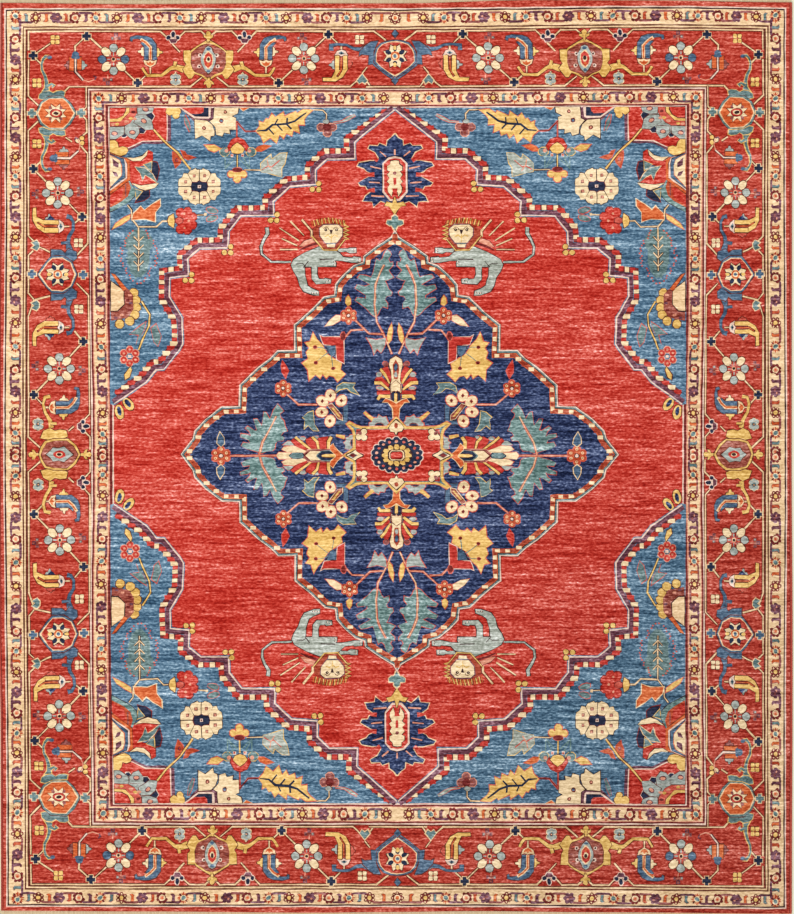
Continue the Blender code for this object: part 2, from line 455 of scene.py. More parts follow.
def palmette_bud(x, y, turn=0, wool="ink"):
    """Three round lobes over a mauve base, edged in white."""
    lobes = [circle(-4.6, 0, 2.1, wool, 8), oval(0, -3.2, 2.0, 3.2, wool, 8), circle(4.6, 0, 2.1, wool, 8)]
    base = [Patch([(-4.4, 1.2), (4.4, 1.2), (2.2, 5.2), (-2.2, 5.2)], "mauve")]
    return placed(edge_round(lobes + base, "white", 0.8) + base, x, y, turn)


def teal_bud(x, y, turn=0):
    """Four grey petals, nearly touching, in a cream ring."""
    made = [circle(2.6 * u, 2.4 * v, 2.4, "pale", 8) for u in (-1, 1) for v in (-1, 1)]
    made += [oval(0, -4.4, 1.8, 1.6, "pale", 8), oval(0, 4.4, 1.8, 1.6, "pale", 8)]
    made = edge_round(made, "brown", 0.9) + edge_round(made, "cream", 0.5)
    made += [circle(0, 0, 2.3, "teal", 8), circle(0, 0, 1.5, "maroon", 6)]
    return placed(made + [circle(0, 0, 0.7, "cream", 6)], x, y, turn)


def gold_cartouche():
    """The round-shouldered medallion of the border, upright, with its middle at the origin."""
    half = [(0, -20), (-7, -16.2), (-11, -13.8), (-16, -10.6), (-18.8, -7.6), (-19.2, 4), (-17, 11),
            (-14.6, 13.6), (-7, 16.4), (-3, 19.4), (0, 21)]
    shoulder = [(-24.6, -8.9), (-18.2, -9.2), (-17.8, 4), (-16.4, 11), (-13.6, 14), (-16.6, 18.6),
                (-19.4, 18.6), (-23.6, 13.4), (-25.6, 9.6), (-22, 4.6), (-24.4, 1)]
    rim = [Patch(shoulder, "gold"), Patch([(-u, v) for u, v in shoulder], "gold"),
           Patch(whole(half, x=0), "gold")]
    made = edge_round(rim, "brown", 0.7)
    made += edged(grown(whole(half, x=0), -1.9), "dusty", "brown", 0.4)
    marks = ((-12, -6), (-14.6, 1), (-12, 8), (12, -6), (14.6, 1), (12, 8), (-5, -13), (5, -13), (-6, 13),
             (6, 13))
    made += [oval(u, v, 2.2, 0.6, "coral" if i % 2 else "plum", 6) for i, (u, v) in enumerate(marks)]
    bloom = [(0, -13.4), (-3, -12), (-4.4, -8.4), (-6.6, -5), (-7.4, -1), (-7, 3.4), (-5.2, 7.6),
             (-3.4, 11), (0, 14)]
    made += edged(whole(bloom, x=0), "pale", "brown", 0.5)
    made += [oval(0, -10.6, 2.4, 1.6, "blue", 8), oval(0, 11.4, 2.0, 1.4, "blue", 8)]
    core = [(0, -7.4), (-3.4, -4.6), (-4.4, 0), (-3.4, 5), (0, 8.4)]
    made += edged(whole(core, x=0), "check_red", "cream", 0.7)
    made += [oval(0, 0, 2.4, 3.2, "ivory", 8), oval(0, -0.6, 1.6, 2.2, "dark", 8),
             oval(0, 5, 1.6, 1.6, "orange", 6)]
    for u, v in ((-8.4, -4.6), (8.4, -4.6), (-9.4, 6.8), (9.4, 6.8)):
        made += [circle(u, v, 2.0, "white", 8), circle(u * 0.96, v, 1.1, "dark", 6)]
    return made


def star_flower(points_out, reach, inner, wool, edge="dark", turn=0.0):
    """A jagged flower with pointed petals."""
    outline = []
    for i in range(2 * points_out):
        r = reach if i % 2 == 0 else inner
        a = math.radians(turn + 180 * i / points_out)
        outline.append((r * math.cos(a), r * math.sin(a)))
    return edged(outline, wool, edge, 0.6)


def border_bloom():
    """The ivory and navy flower inside the blue cartouches."""
    made = star_flower(8, 12.2, 8.2, "ivory", "dark", 22.5)
    made += petals(6, 7.6, 2.2, 3.2, "ink", 30) + petals(2, 8.4, 1.8, 2.4, "yellow", 90)
    made += [circle(0, 0, 4.6, "orange"), circle(0, 0, 3.0, "ivory", 8), circle(0, 0, 1.8, "blue", 8)]
    return made


def trefoil(wool="yellow", size=1.0):
    """A small bud: two cupped side leaves and a round top, on a stem."""
    sides = [Patch([(-1.2, 2.6), (-4.6, 0.6), (-5, -1.8), (-1.8, -0.8)], wool),
             Patch([(1.2, 2.6), (4.6, 0.6), (5, -1.8), (1.8, -0.8)], wool)]
    bud = [oval(0, -2.6, 2.6, 2.9, wool, 8), Patch([(-1.6, -1), (1.6, -1), (1.0, 5), (-1.0, 5)], wool)]
    return placed(edge_round(sides + bud, "brown", 0.6) + bud, 0, 0, 0, size)


def gap_lines(runs):
    made = []
    for run in runs:
        made += line(run)
    return made


TOP_VINE = [
    [(28.6, 50.6), (28.6, 31.3), (160.3, 31.3), (168.5, 38.6)],
    [(177.5, 38.6), (185.1, 31.3), (201.3, 31.3), (206, 35.8)],
    [(211, 35.8), (216, 31.3), (231.6, 31.3), (239.6, 38.8)],
    [(249, 38.8), (256.5, 31.3), (373.8, 31.3), (385.9, 40.6)],
    [(90.4, 38.1), (106.5, 52.5)],
    [(120, 66.5), (137.6, 82.9)],
    [(83.5, 38.6), (75, 46.4), (75.4, 52)],
    [(137.6, 82.9), (147.4, 74)],
    [(172.3, 43.8), (180.2, 52.2)],
    [(245.2, 43.8), (237.4, 52.2)],
    [(175.6, 72), (175.6, 77)],
    [(242.6, 72), (242.6, 77)],
    [(278.6, 83), (297.5, 65)],
    [(310, 52), (328.4, 34.4)],
    [(328.4, 34.4), (337.4, 43)],
    [(269, 75), (278.6, 83)],
    [(68.8, 86.7), (190.5, 86.7), (202.1, 77.1)],
    [(216.7, 77.1), (228.7, 86.7), (350.2, 86.7), (358, 80)],
    [(366, 80), (370.7, 86.7), (424, 86.7)],
    [(367.1, 67), (362.2, 73.2)],
]
CORNER_VINE = [
    [(52, 42.6), (35.6, 53.6)],
    [(34.7, 57.9), (41.5, 64.5)],
    [(28.6, 59.7), (28.2, 96.2), (40.2, 107.2)],
    [(64.7, 91.2), (69.2, 86.7)],
    [(86.2, 87), (86.2, 107.2), (83, 110.4)],
]
LEFT_VINE = [
    [(40.8, 119), (28.2, 130.5), (28.4, 236), (40, 247.4), (50, 252)],
    [(83.7, 116.6), (86.4, 119.9), (86.8, 132), (81, 137.2)],
    [(65.5, 137.3), (72, 141.8)],
    [(81, 146), (87.4, 153.5), (88, 243.5), (76.3, 256)],
    [(33.2, 168.8), (41.4, 160.8)],
    [(33.2, 168.8), (50.5, 185.8)],
    [(65, 200), (82.1, 216.9)],
    [(82.1, 216.9), (74, 223.4)],
    [(33.2, 250.7), (28.4, 255.4), (28.4, 293), (34, 300)],
    [(76.3, 283.1), (88.7, 295.5), (89.6, 413.9), (83.7, 420.5)],
    [(34, 300), (28.4, 316), (28.4, 437.1), (41, 448.2)],
    [(34, 300), (50, 296)],
    [(83.3, 341.5), (66, 361)],
    [(74.4, 331), (83.3, 341.5)],
    [(52, 376), (33.6, 394.8)],
    [(33.6, 394.8), (43, 404.5)],
    [(73.8, 426.3), (68.4, 431)],
    [(85.4, 432.1), (90, 436.8), (90, 449.5)],
]


def top_border():
    """The main border along the far end, left half."""
    made = gap_lines(TOP_VINE)
    made += cross(86.7, 36.1) + cross(137.6, 82.9) + cross(278.6, 83) + cross(328.4, 34.4)
    made += placed(orange_tulip(), 75.5, 64.2)
    made += rosette(113.6, 59.3, "blue") + rosette(303.75, 58.5)
    made += faint_flower(116, 38) + faint_flower(107.8, 80, 180) + faint_flower(302, 38)
    made += faint_flower(306.4, 80, 180)
    made += placed(blue_boteh(), 150.3, 53) + placed(blue_boteh(), 266, 53, 0, 1, True)
    arm = [(142.2, 67.6), (145, 72.2), (147.5, 75.4), (161.7, 75.4), (170.7, 68.5), (176, 67), (184, 69.5)]
    reach = [2.2, 2.2, 2.4, 2.6, 3.2, 5.0, 6.5]
    made += line(arm, "gold", reach, "brown", 0.7)
    made += line([(174.5, 66), (175.5, 61.5)], "gold", 3.0, "brown", 0.7)
    far_arm = [(2 * 208.4 - x, y) for x, y in arm]
    made += line(far_arm, "gold", reach, "brown", 0.7)
    made += line([(242.3, 66), (241.3, 61.5)], "gold", 3.0, "brown", 0.7)
    made += placed(gold_cartouche(), 208.4, 59.7)
    made += placed(trefoil("gold"), 208.4, 36.6) + placed(trefoil("gold"), 208.8, 82.6, 180)
    made += palmette_bud(173.1, 37.6) + palmette_bud(244.4, 37.6)
    made += teal_bud(175.6, 79.6) + teal_bud(242.8, 79.6)
    made += placed(yellow_boteh(), 341.3, 62.6)
    made += line([(331.2, 50.6), (331.2, 45.4), (337.7, 44.4), (346.6, 45), (353.8, 48.7), (360.9, 49.6),
                  (368, 46.6)], "blue", [4.4, 3.4, 2.2, 2.4, 3, 4, 6], "brown", 0.6)
    made += edged([(366, 45), (371, 41.6), (378, 41), (373.5, 52), (374.3, 64), (368.4, 64.4),
                   (369.2, 55), (362, 54.4), (359, 56), (360, 51)], "blue")
    made += line([(373.8, 64), (385, 73), (394, 79)], "blue", 2.4, "brown", 0.6)
    made += four_petals(359.6, 39.7, "ivory")
    made += placed(edged([(-5, 1.5), (0, -4.6), (5, 1.5), (3, 4.6), (0, 2.6), (-3, 4.6)], "teal", "cream",
                         0.9), 362.2, 79)
    return made


def corner_border():
    """The main border's corner, down to the orange cartouche."""
    made = gap_lines(CORNER_VINE) + cross(33.2, 55.6) + four_petals(55.1, 39.8) + four_petals(36.9, 82.9)
    made += teal_arm()
    return made


def teal_arm():
    """The arm with a curled head that stands on the orange cartouche."""
    arm = [(49.4, 56.9), (45.6, 56.6), (43, 59.4), (41.6, 64), (42, 70), (45, 76), (46.6, 82), (46.8, 88),
           (45, 95)]
    made = line(arm, "teal", [2.6, 2.6, 2.0, 1.8, 2.0, 2.6, 3.2, 4.4, 9], "yellow", 0.6)
    made += edge_round([oval(49.6, 57.4, 2.4, 1.7, "blue", 8)], "plum", 0.5)
    made += line([(47, 86.4), (51.4, 84), (54, 85.4), (52, 87.4)], "teal", [3, 2, 1.6, 1.2], "yellow", 0.5)
    foot = [(38.6, 98.6), (39.6, 94.4), (43.8, 91.6), (49, 91), (53, 93.2), (56.6, 91.2), (62, 90.6),
            (65, 91.8), (64.4, 96), (58, 96.4), (50, 96.4), (43, 99.6)]
    return made + edged(foot, "teal", "yellow", 0.6)


def orange_cartouche():
    """The round cartouche at the border's end, with its middle at the origin."""
    half = [(-19.6, 0), (-15.2, -11), (-7.2, -16.8), (7.8, -17.2), (15, -10.6), (20.8, 0)]
    made = edged(whole(half, y=0), "teal", "brown", 0.6)
    inner = [(-17, 0), (-13, -9.4), (-6.2, -14.2), (7, -14.6), (12.8, -9), (17.8, 0)]
    made += [Patch(grown(whole(inner, y=0), 0.7), "cream"), Patch(whole(inner, y=0), "orange")]
    made += [Patch([(u, v * 0.86) for u, v in p.points], p.wool)
             for p in star_flower(8, 11.4, 6.6, "ivory", "maroon", 22.5)]
    made += petals(4, 7.6, 1.6, 2.2, "plum", 45, 6)
    made += [oval(0.4, 0, 6.6, 4.6, "maroon"), oval(0.4, 0, 5.8, 3.9, "check_red"),
             oval(0.4, 0, 4.2, 2.6, "ivory", 8)]
    return made + [oval(0.4, 0, 2.8, 1.7, "dark", 8)]


def left_border():
    """The main border down the left side, far half."""
    made = gap_lines(LEFT_VINE)
    made += placed(orange_cartouche(), 55.6, 113.3)
    made += cross(31.9, 113.3, "teal") + cross(81.3, 112.9, "teal")
    made += mirrored(teal_arm() + four_petals(36.9, 82.9), y=113.3)
    made += placed(edge_round([circle(-2.5, -2.5, 2.3, "yellow", 8), circle(2.5, -2.5, 2.3, "yellow", 8),
                               circle(0, 2, 2.4, "ivory", 8)], "brown", 0.7), 79.6, 140.6, 90)
    made += placed(orange_tulip(), 62.6, 158.2, -90)
    made += cross(33.2, 168.8) + cross(82.1, 216.9) + cross(83.3, 341.5) + cross(33.6, 394.8)
    made += rosette(57.6, 192.9) + rosette(59.3, 368.7)
    made += faint_flower(36.5, 194, -90) + faint_flower(78.8, 191.5, 90) + faint_flower(36.6, 366, -90)
    made += faint_flower(80.6, 370.5, 90)
    made += side_boteh(226.4) + mirrored(side_boteh(226.4), y=276.9)
    made += hook_arm() + mirrored(hook_arm(), y=274.9)
    made += blue_cartouche()
    made += four_petals(78.4, 242.9, "ivory") + four_petals(78.8, 309.2, "ivory")
    made += placed(palmette_small(), 34.6, 245.3, -90) + placed(palmette_small(), 34.6, 305.5, -90)
    made += cross(31.9, 273.9, "blue") + cross(83.3, 274.8, "blue")
    made += placed(blue_boteh(), 62.6, 407.4, 90)
    arm = [(50.4, 396.2), (45, 397.4), (43.1, 404), (45, 412), (50, 420.5), (51.6, 428)]
    made += line(arm, "gold", [3.4, 2.6, 2.4, 2.6, 3.2, 5], "brown", 0.6)
    made += line([(50.6, 423.6), (56.6, 423.4)], "gold", 2.4, "brown", 0.6)
    made += edged([(40.6, 438), (43.6, 431), (50, 428), (55, 431), (60, 429.8), (66.4, 430.6),
                   (67.4, 436.6), (60, 440), (48, 440)], "gold")
    made += teal_bud(38.1, 424.2) + palmette_bud(82.9, 426.3, 90)
    return made


def palmette_small():
    return edge_round([Patch([(-5, 2), (-2.6, -3), (0, 0), (2.6, -3), (5, 2), (2, 4.4), (-2, 4.4)],
                             "teal")], "cream", 0.9)


def side_boteh(y):
    """The yellow boteh lying on its side, its cap to the right."""
    made = placed(yellow_boteh(), 51.4, y, 90)
    made += [Patch([(46.4, y - 6.6), (55, y - 6.6), (50.6, y - 10.8)], "navy")]
    return made


def hook_arm():
    """The blue arm that stands on the blue cartouche."""
    arm = [(66.4, 216.4), (70.4, 217.2), (73.2, 222), (73, 230), (69, 236.5), (68, 243), (70, 252)]
    made = line(arm, "blue", [4.4, 3, 2.4, 2.6, 3.2, 4, 7], "brown", 0.6)
    made += line([(68, 242.6), (61, 243.4)], "blue", 2.6, "brown", 0.6)
    made += edged([(51, 249.4), (61, 250), (65, 253), (68, 249), (76.4, 252), (77, 258), (72, 262),
                   (64, 256), (51, 256)], "blue")
    return made


def blue_cartouche():
    half = [(-21.8, 0), (-13, -13), (-8, -18.3), (3.6, -18.7), (12.7, -13), (17.8, 0)]
    made = edged(whole(half, y=0), "blue", "brown", 0.6)
    inner = [(-19, 0), (-11.4, -11.4), (-7, -15.6), (3, -16), (10.9, -11.4), (15.2, 0)]
    made += [Patch(grown(whole(inner, y=0), 0.8), "cream"), Patch(whole(inner, y=0), "border_red")]
    made += placed(border_bloom(), -1.6, 0, 90)
    return placed(made, 59.3, 274.4)


def top_middle_border():
    """The blue cartouche in the middle of the far end."""
    half = [(0, -15.8), (-7, -15.4), (-14, -13), (-18.4, -8), (-20.8, -2.4), (-21, 6.6), (-16, 11.6),
            (-8, 17.4), (0, 22.2)]
    made = edged(whole(half, x=0), "blue", "brown", 0.6)
    inner = [(0, -13.6), (-6.4, -13.2), (-12.6, -11.2), (-16.4, -7), (-18.4, -2), (-18.4, 5.4),
             (-14.4, 9.8), (-7.4, 14.8), (0, 19.2)]
    made += [Patch(grown(whole(inner, x=0), 0.7), "cream"), Patch(whole(inner, x=0), "border_red")]
    made += placed(border_bloom(), 0, 0)
    diamond = [(0, -4), (3.4, 0), (0, 4), (-3.4, 0)]
    made += placed(edged(diamond, "blue"), 0, -22.4) + placed(edged(diamond, "blue"), 0, 24.6)
    return placed(made, MID_X, 56)


def left_middle_border():
    """The gold cartouche in the middle of the left side."""
    made = line([(28.4, 437.1), (41, 448.2)]) + line([(28.4, 471.9), (41, 460.8)])
    half = [(-20.3, 0), (-18.4, -7), (-14.5, -13), (-6, -15.6), (8.7, -15.8), (16.6, -9), (21.1, 0)]
    cartouche = edged(whole(half, y=0), "gold")
    inner = [(-17.6, 0), (-16, -6), (-12.6, -11.2), (-5, -13.4), (7.4, -13.6), (14, -8), (18.2, 0)]
    cartouche += edged(whole(inner, y=0), "dusty", "brown", 0.5)
    bloom = [(-13, 0), (-9, -3.4), (-6.6, -6.8), (-1, -6.2), (4.6, -7.6), (8.6, -4), (13.6, 0)]
    cartouche += edged(whole(bloom, y=0), "pale", "brown", 0.6)
    cartouche += [oval(0, 0, 6.4, 4, "check_red"), oval(0, 0, 3.6, 2.2, "ivory", 8),
                  oval(0, 0, 2.4, 1.4, "dark", 8)]
    cartouche += placed(trefoil("gold"), -25.6, 0, -90) + placed(trefoil("gold"), 26.6, 0, 90)
    return made + placed(cartouche, 59.3, MID_Y)


# Spandrels: the blue corners of the field

SPANDREL_EDGE = [
    (394.5, 109.6), (354.5, 142), (355, 158.9), (327, 158.9), (315.4, 169.7), (315.8, 184.6),
    (289.7, 186.7), (273.1, 201.6), (273.9, 215.5), (240.5, 216), (228.5, 231.5), (227.7, 247.7),
    (199.9, 248.1), (187.5, 258.5), (188.7, 275.5), (169.7, 277.6), (169.4, 296.5), (181.9, 317.6),
    (182.9, 344.1), (179.4, 349.7), (163.9, 369.4), (156.2, 369.7), (146.4, 382), (114, 404),
]


def blocks_along(points, pitches, sizes, wools, edge, width):
    """Blocks in turn in two wools, square to the rug as knots are, on level, upright and slanting runs."""
    made, turn = [band(points, edge, width)], 0
    for (ax, ay), (bx, by) in zip(points, points[1:]):
        across, down = abs(bx - ax), abs(by - ay)
        kind = 0 if down < across / 4 else 1 if across < down / 4 else 2
        wide, tall = sizes[kind]
        count = max(1, round(math.hypot(across, down) / pitches[kind]))
        for i in range(count):
            share = (i + 0.5) / count
            x, y = ax + (bx - ax) * share, ay + (by - ay) * share
            made.append(box(x - wide / 2, y - tall / 2, x + wide / 2, y + tall / 2, wools[turn % 2]))
            turn += 1
    return made


def spandrel():
    edge = SPANDREL_EDGE
    made = [Patch([(110, 107.9), (394.5, 107.9)] + shifted(edge, 1.5, False) + [(110, 404)], "sky")]
    checks = [(388, 109.6)] + shifted(edge, -8.0, False)[1:-1] + [(115.6, 394)]
    made += blocks_along(checks, (5.4, 4.6, 7.2), ((4.7, 5.2), (5.4, 3.8), (7.6, 4.3)),
                         ["check_red", "ivory"], "maroon", 5.4)
    made += [band(shifted(edge, -2.9, False), "mauve", 4.2), band(edge, "white", 1.3)]
    return made


def spandrel_flowers():
    made = []
    for x, y in (SPANDREL_EDGE[5], SPANDREL_EDGE[8], SPANDREL_EDGE[11], SPANDREL_EDGE[14]):
        balls = [circle(3, -1, 2.7, "gold", 8), circle(-3.4, 4.7, 2.7, "gold", 8),
                 circle(2.9, 5, 2.7, "gold", 8)]
        made += placed(edge_round(balls, "brown", 0.6), x, y)
    made += corner_palmette() + top_palmette() + left_palmette()
    made += tulip_cluster() + big_rosette() + yellow_leaf() + lower_leaves() + ribbed_palmette()
    return made


def corner_palmette():
    """The quarter palmette that fills the spandrel's corner."""
    outer = [(110, 107.9), (171, 107.9), (170.8, 141), (162, 144), (143, 143.8), (127, 151.4), (110, 151)]
    made = [Patch(outer, "mauve")]
    made += edged([(110, 107.9), (166.6, 107.9), (166.6, 140.4), (142, 140.8), (126, 148.2), (110, 148)],
                  "red", "white", 1.1)
    for points in (
        [(143.4, 113.6), (151.6, 112.4), (154.2, 116), (151.8, 120.8), (147, 116.6)],
        [(138.6, 126), (142.6, 128.4), (146.2, 129.6), (143.6, 133.2), (139, 133.2)],
        [(123.8, 132), (127.4, 135), (125, 137.4), (122.4, 137.4), (120.2, 135.2)],
    ):
        made += edged(points, "ink", "white", 0.6)
    made.append(Patch([(123.7, 126.6), (136, 113.6), (147, 116), (140, 128), (131, 139), (124, 133)], "pale"))
    for points, (x, y, turn) in (
        ([(137.5, 107.9), (153.6, 107.9), (152.4, 112.2), (145.5, 114.5), (137.5, 114)], (145.5, 109.4, 10)),
        ([(136.3, 115.7), (145.5, 115.1), (151.3, 119.7), (153.5, 129.4), (145.5, 130), (139.8, 126),
          (134, 122.6)], (143.8, 121, 30)),
        ([(126, 127.1), (138.6, 126.6), (139.2, 133), (134.6, 139.2), (129.4, 137.5), (125.4, 133)],
         (132.3, 132.3, 0)),
        ([(110, 127), (124.3, 126.6), (123.7, 134), (115.7, 139.2), (110, 139.2)], (114.5, 133.5, 0)),
    ):
        made += edged(points, "pale", "brown", 0.5)
        made += [oval(x, y, 3.6, 2.5, "mauve", 8, turn), oval(x, y, 2.6, 1.6, "pink", 8, turn)]
    made += edged([(110, 126.4), (123.6, 126), (130, 123), (136, 114.6), (136.8, 107.9), (110, 107.9)],
                  "coral", "brown", 0.5)
    for x, y, wool in ((133.5, 112, "maroon"), (131, 118.4, "gold"), (126.6, 121.6, "pink"),
                       (134.6, 118.8, "pink"), (117, 124.2, "gold"), (112.6, 124.4, "pink")):
        made += [oval(x, y, 2.4, 1.5, wool, 6)]
    made += edged([(110, 121.6), (120.6, 121), (129.2, 112.4), (129.4, 107.9), (110, 107.9)], "yellow",
                  "brown", 0.5)
    made += edged([(110, 118.5), (117, 118.3), (122.8, 115.4), (125.4, 110.4), (125.4, 107.9),
                   (110, 107.9)], "red", "dark", 0.6)
    lobes = [circle(170, 111, 4.2, "yellow"), circle(176.6, 111, 4.4, "yellow"),
             circle(176, 115.4, 3.4, "yellow"), box(166.6, 107.9, 180, 112, "yellow")]
    made += [Patch([(u, max(v, 107.9)) for u, v in p.points], p.wool)
             for p in edge_round(lobes, "brown", 0.6)]
    blob = [(110, 140.3), (114.8, 140), (117.6, 142.6), (118.8, 147.4), (122.6, 146.2), (126.8, 147.6),
            (128, 150.6), (126, 154), (121.4, 155.8), (110, 154)]
    return made + edged(blob, "yellow", "brown", 0.6)


def top_palmette():
    """The half palmette that hangs from the field's far edge."""
    made = line([(184.5, 115), (187, 123), (190.3, 131.7)], "teal", [1, 4, 1.4], "coral", 0.6)
    made += [Patch([(180.4, 107.9), (214, 107.9), (213.4, 119), (209, 121.6), (194, 121.4)], "mauve")]
    first = [(194.9, 119.7), (207.5, 120.6), (212, 125), (214.6, 131), (214.2, 135.4), (210.6, 136.3),
             (209.8, 141), (202, 135.2), (195.2, 138.8)]
    second = [(214.4, 107.9), (238.8, 107.9), (237.9, 113.2), (231.8, 116.4), (235.8, 118), (235.8, 129.6),
              (229.4, 129.6), (230, 133.7), (223.8, 132.3), (222.4, 136), (216.4, 134.4), (215.4, 127.1),
              (209.8, 121), (213.8, 118.6)]
    made += edged(first, "ivory", "dark", 0.7) + edged(second, "ivory", "dark", 0.7)
    made += edged([(179.6, 107.9), (211, 107.9), (210.4, 117.4), (208.4, 118.6), (194.4, 118.6)], "white",
                  "brown", 0.4)
    made += [Patch([(182, 107.9), (208.7, 107.9), (208.5, 116.6), (194.8, 116.6)], "ink")]
    made += edged([(182.2, 107.9), (203, 107.9), (203, 111.4), (201, 113.2), (191, 113.2)], "red",
                  "coral", 0.6)
    for x, y, r in ((204.1, 128.1, 2.1), (221.3, 120.8, 2.5), (225.3, 112.2, 2.0)):
        made += [circle(x, y, r, "maroon", 8), circle(x, y, r - 1.1, "pink" if r < 2.4 else "blue", 6)]
    return made + edged([(240, 107.9), (249, 107.9), (243, 110.6)], "orange", "cream", 0.5)


def left_palmette():
    """The half palmette on the field's side edge, with its long lower petal."""
    made = edged([(152, 161.6), (157, 162.7), (159, 169.6), (157, 179), (151, 171)], "ink", "maroon", 1.2)
    made += edged([(142, 190), (149, 189.4), (149.4, 196), (144, 200), (136, 202), (138, 197)], "ink",
                  "maroon", 1.0)
    lobe = [(129.4, 160.6), (141, 160.4), (148.6, 150.4), (152.6, 152.4), (152.6, 159.3), (149, 164),
            (135.2, 167.3), (144, 168), (153.5, 175.4), (157.4, 184.4), (129.4, 184.6)]
    made += edged(lobe, "red", "brown", 0.6)
    made += edged([(143.8, 164.6), (151.8, 161.6), (151.3, 170.8), (147.8, 168.5)], "teal", "yellow", 0.6)
    made += edged([(135.2, 166.7), (145.5, 168.5), (152.6, 174.4), (157.8, 183.6), (150.1, 177.5),
                   (144.9, 174.6), (142.6, 180.4), (140.4, 173.1)], "teal", "cream", 0.6)
    made += edged([(126.6, 157.4), (134, 158.1), (142.1, 155.8), (147.8, 150.2), (146.4, 155.6),
                   (140.9, 160.6), (132.9, 161.2)], "ivory", "dark", 0.6)
    made += edged([(131.7, 183.2), (140.9, 185.4), (158.6, 183.2), (154.7, 187.6), (145.5, 190.5),
                   (138.6, 188.2)], "ivory", "dark", 0.6)
    made += edged([(135, 189), (142.4, 191.4), (136.3, 198.6)], "teal", "yellow", 0.6)
    made += edged([(110, 191), (128.8, 179), (131.7, 184.5), (134.8, 190), (134.6, 196), (128.3, 202.6),
                   (110, 212)], "leaf", "dark", 0.5)
    made += [Patch([(110, 192), (128, 180), (130.6, 188), (128, 196), (122, 201), (110, 207.6)], "rust")]
    made += [Patch([(110, 196), (120, 188), (124, 188), (122, 198), (110, 206)], "red"),
             band([(125.6, 184), (125.6, 196)], "plum", 1.4)]
    made += edged([(110, 152.6), (122, 157.6), (126, 157.8), (129.6, 160), (129.6, 180), (110, 194)],
                  "orange", "brown", 0.5)
    made += edged([(110, 153.4), (119, 156.8), (124.4, 158.4), (127, 164), (127, 178.4), (110, 190.6)],
                  "white", "dark", 0.3)
    made += edged([(110, 154), (118, 157), (123.4, 159), (125, 165), (125, 177.6), (110, 188.6)], "blue",
                  "dark", 0.4)
    made += edged([(110, 155.4), (114.5, 157.6), (119.4, 160.4), (121.4, 166.2), (121.2, 175.4),
                   (110, 187)], "ivory", "orange", 0.6)
    made += [Patch([(112, 158), (118.6, 163.4), (118.4, 168), (113, 166)], "mauve"),
             Patch([(112, 171), (117, 172.6), (118.4, 177), (114.6, 176)], "mauve")]
    return made


def big_rosette():
    """The big cream rosette: eight notched petals round a dark centre, with its stem and leaves."""
    made = edged([(181, 150.6), (184.6, 152), (187, 155), (191.6, 156.4), (195.8, 157.8), (188, 160),
                  (184, 157.6)], "rust", "coral", 0.6)
    made += edged([(172.4, 151.8), (177.6, 152.8), (181.6, 157.6), (180, 163), (175.6, 168),
                   (172.8, 160)], "rust", "coral", 0.6)
    made += [oval(176.6, 160, 1.7, 2.2, "mauve", 6), oval(176.6, 160, 0.8, 1.2, "red", 6)]
    made += line([(153.6, 129.4), (162.7, 139.8), (177.7, 153), (190.3, 169.4)], "yellow", 1.5, "brown", 0.7)
    steep = [(0.4, -16.9), (2.4, -16.9), (3.6, -18.1), (6.6, -17), (9.4, -16), (11.4, -12.8), (8.4, -4.6),
             (4.6, -3.4), (0.4, -4.6)]
    level = [(12.2, -12.8), (15.6, -13.4), (17, -9.4), (20.4, -7.4), (21, -3.6), (20.8, -0.4), (8.8, -0.4),
             (7, -3.6)]
    rings = [(5.2, -10.9), (13.8, -4.9)]
    flower = [oval(0, 0, 19, 15.6, "dark", 16)]
    for u in (-1, 1):
        for v in (-1, 1):
            for petal in (steep, level):
                flower += edged([(a * u, -b * v) for a, b in petal], "ivory", "dark", 0.5)
            for a, b in rings:
                flower += [circle(a * u, -b * v, 2.2, "plum", 4), circle(a * u, -b * v, 1.3, "pink", 4)]
    centre = [(-8.4, 0), (-7.2, -4.3), (-2.4, -4.3), (0, -6), (2.4, -4.3), (7.2, -4.3), (8.4, 0),
              (7.2, 4.3), (2.4, 4.3), (0, 6), (-2.4, 4.3), (-7.2, 4.3)]
    flower += edged(centre, "ink", "maroon", 0.5)
    flower += [box(-1.5, -1.5, 1.5, 1.5, "white"), box(-0.6, -0.6, 0.6, 0.6, "maroon")]
    return made + placed(flower, 199.4, 186.6)


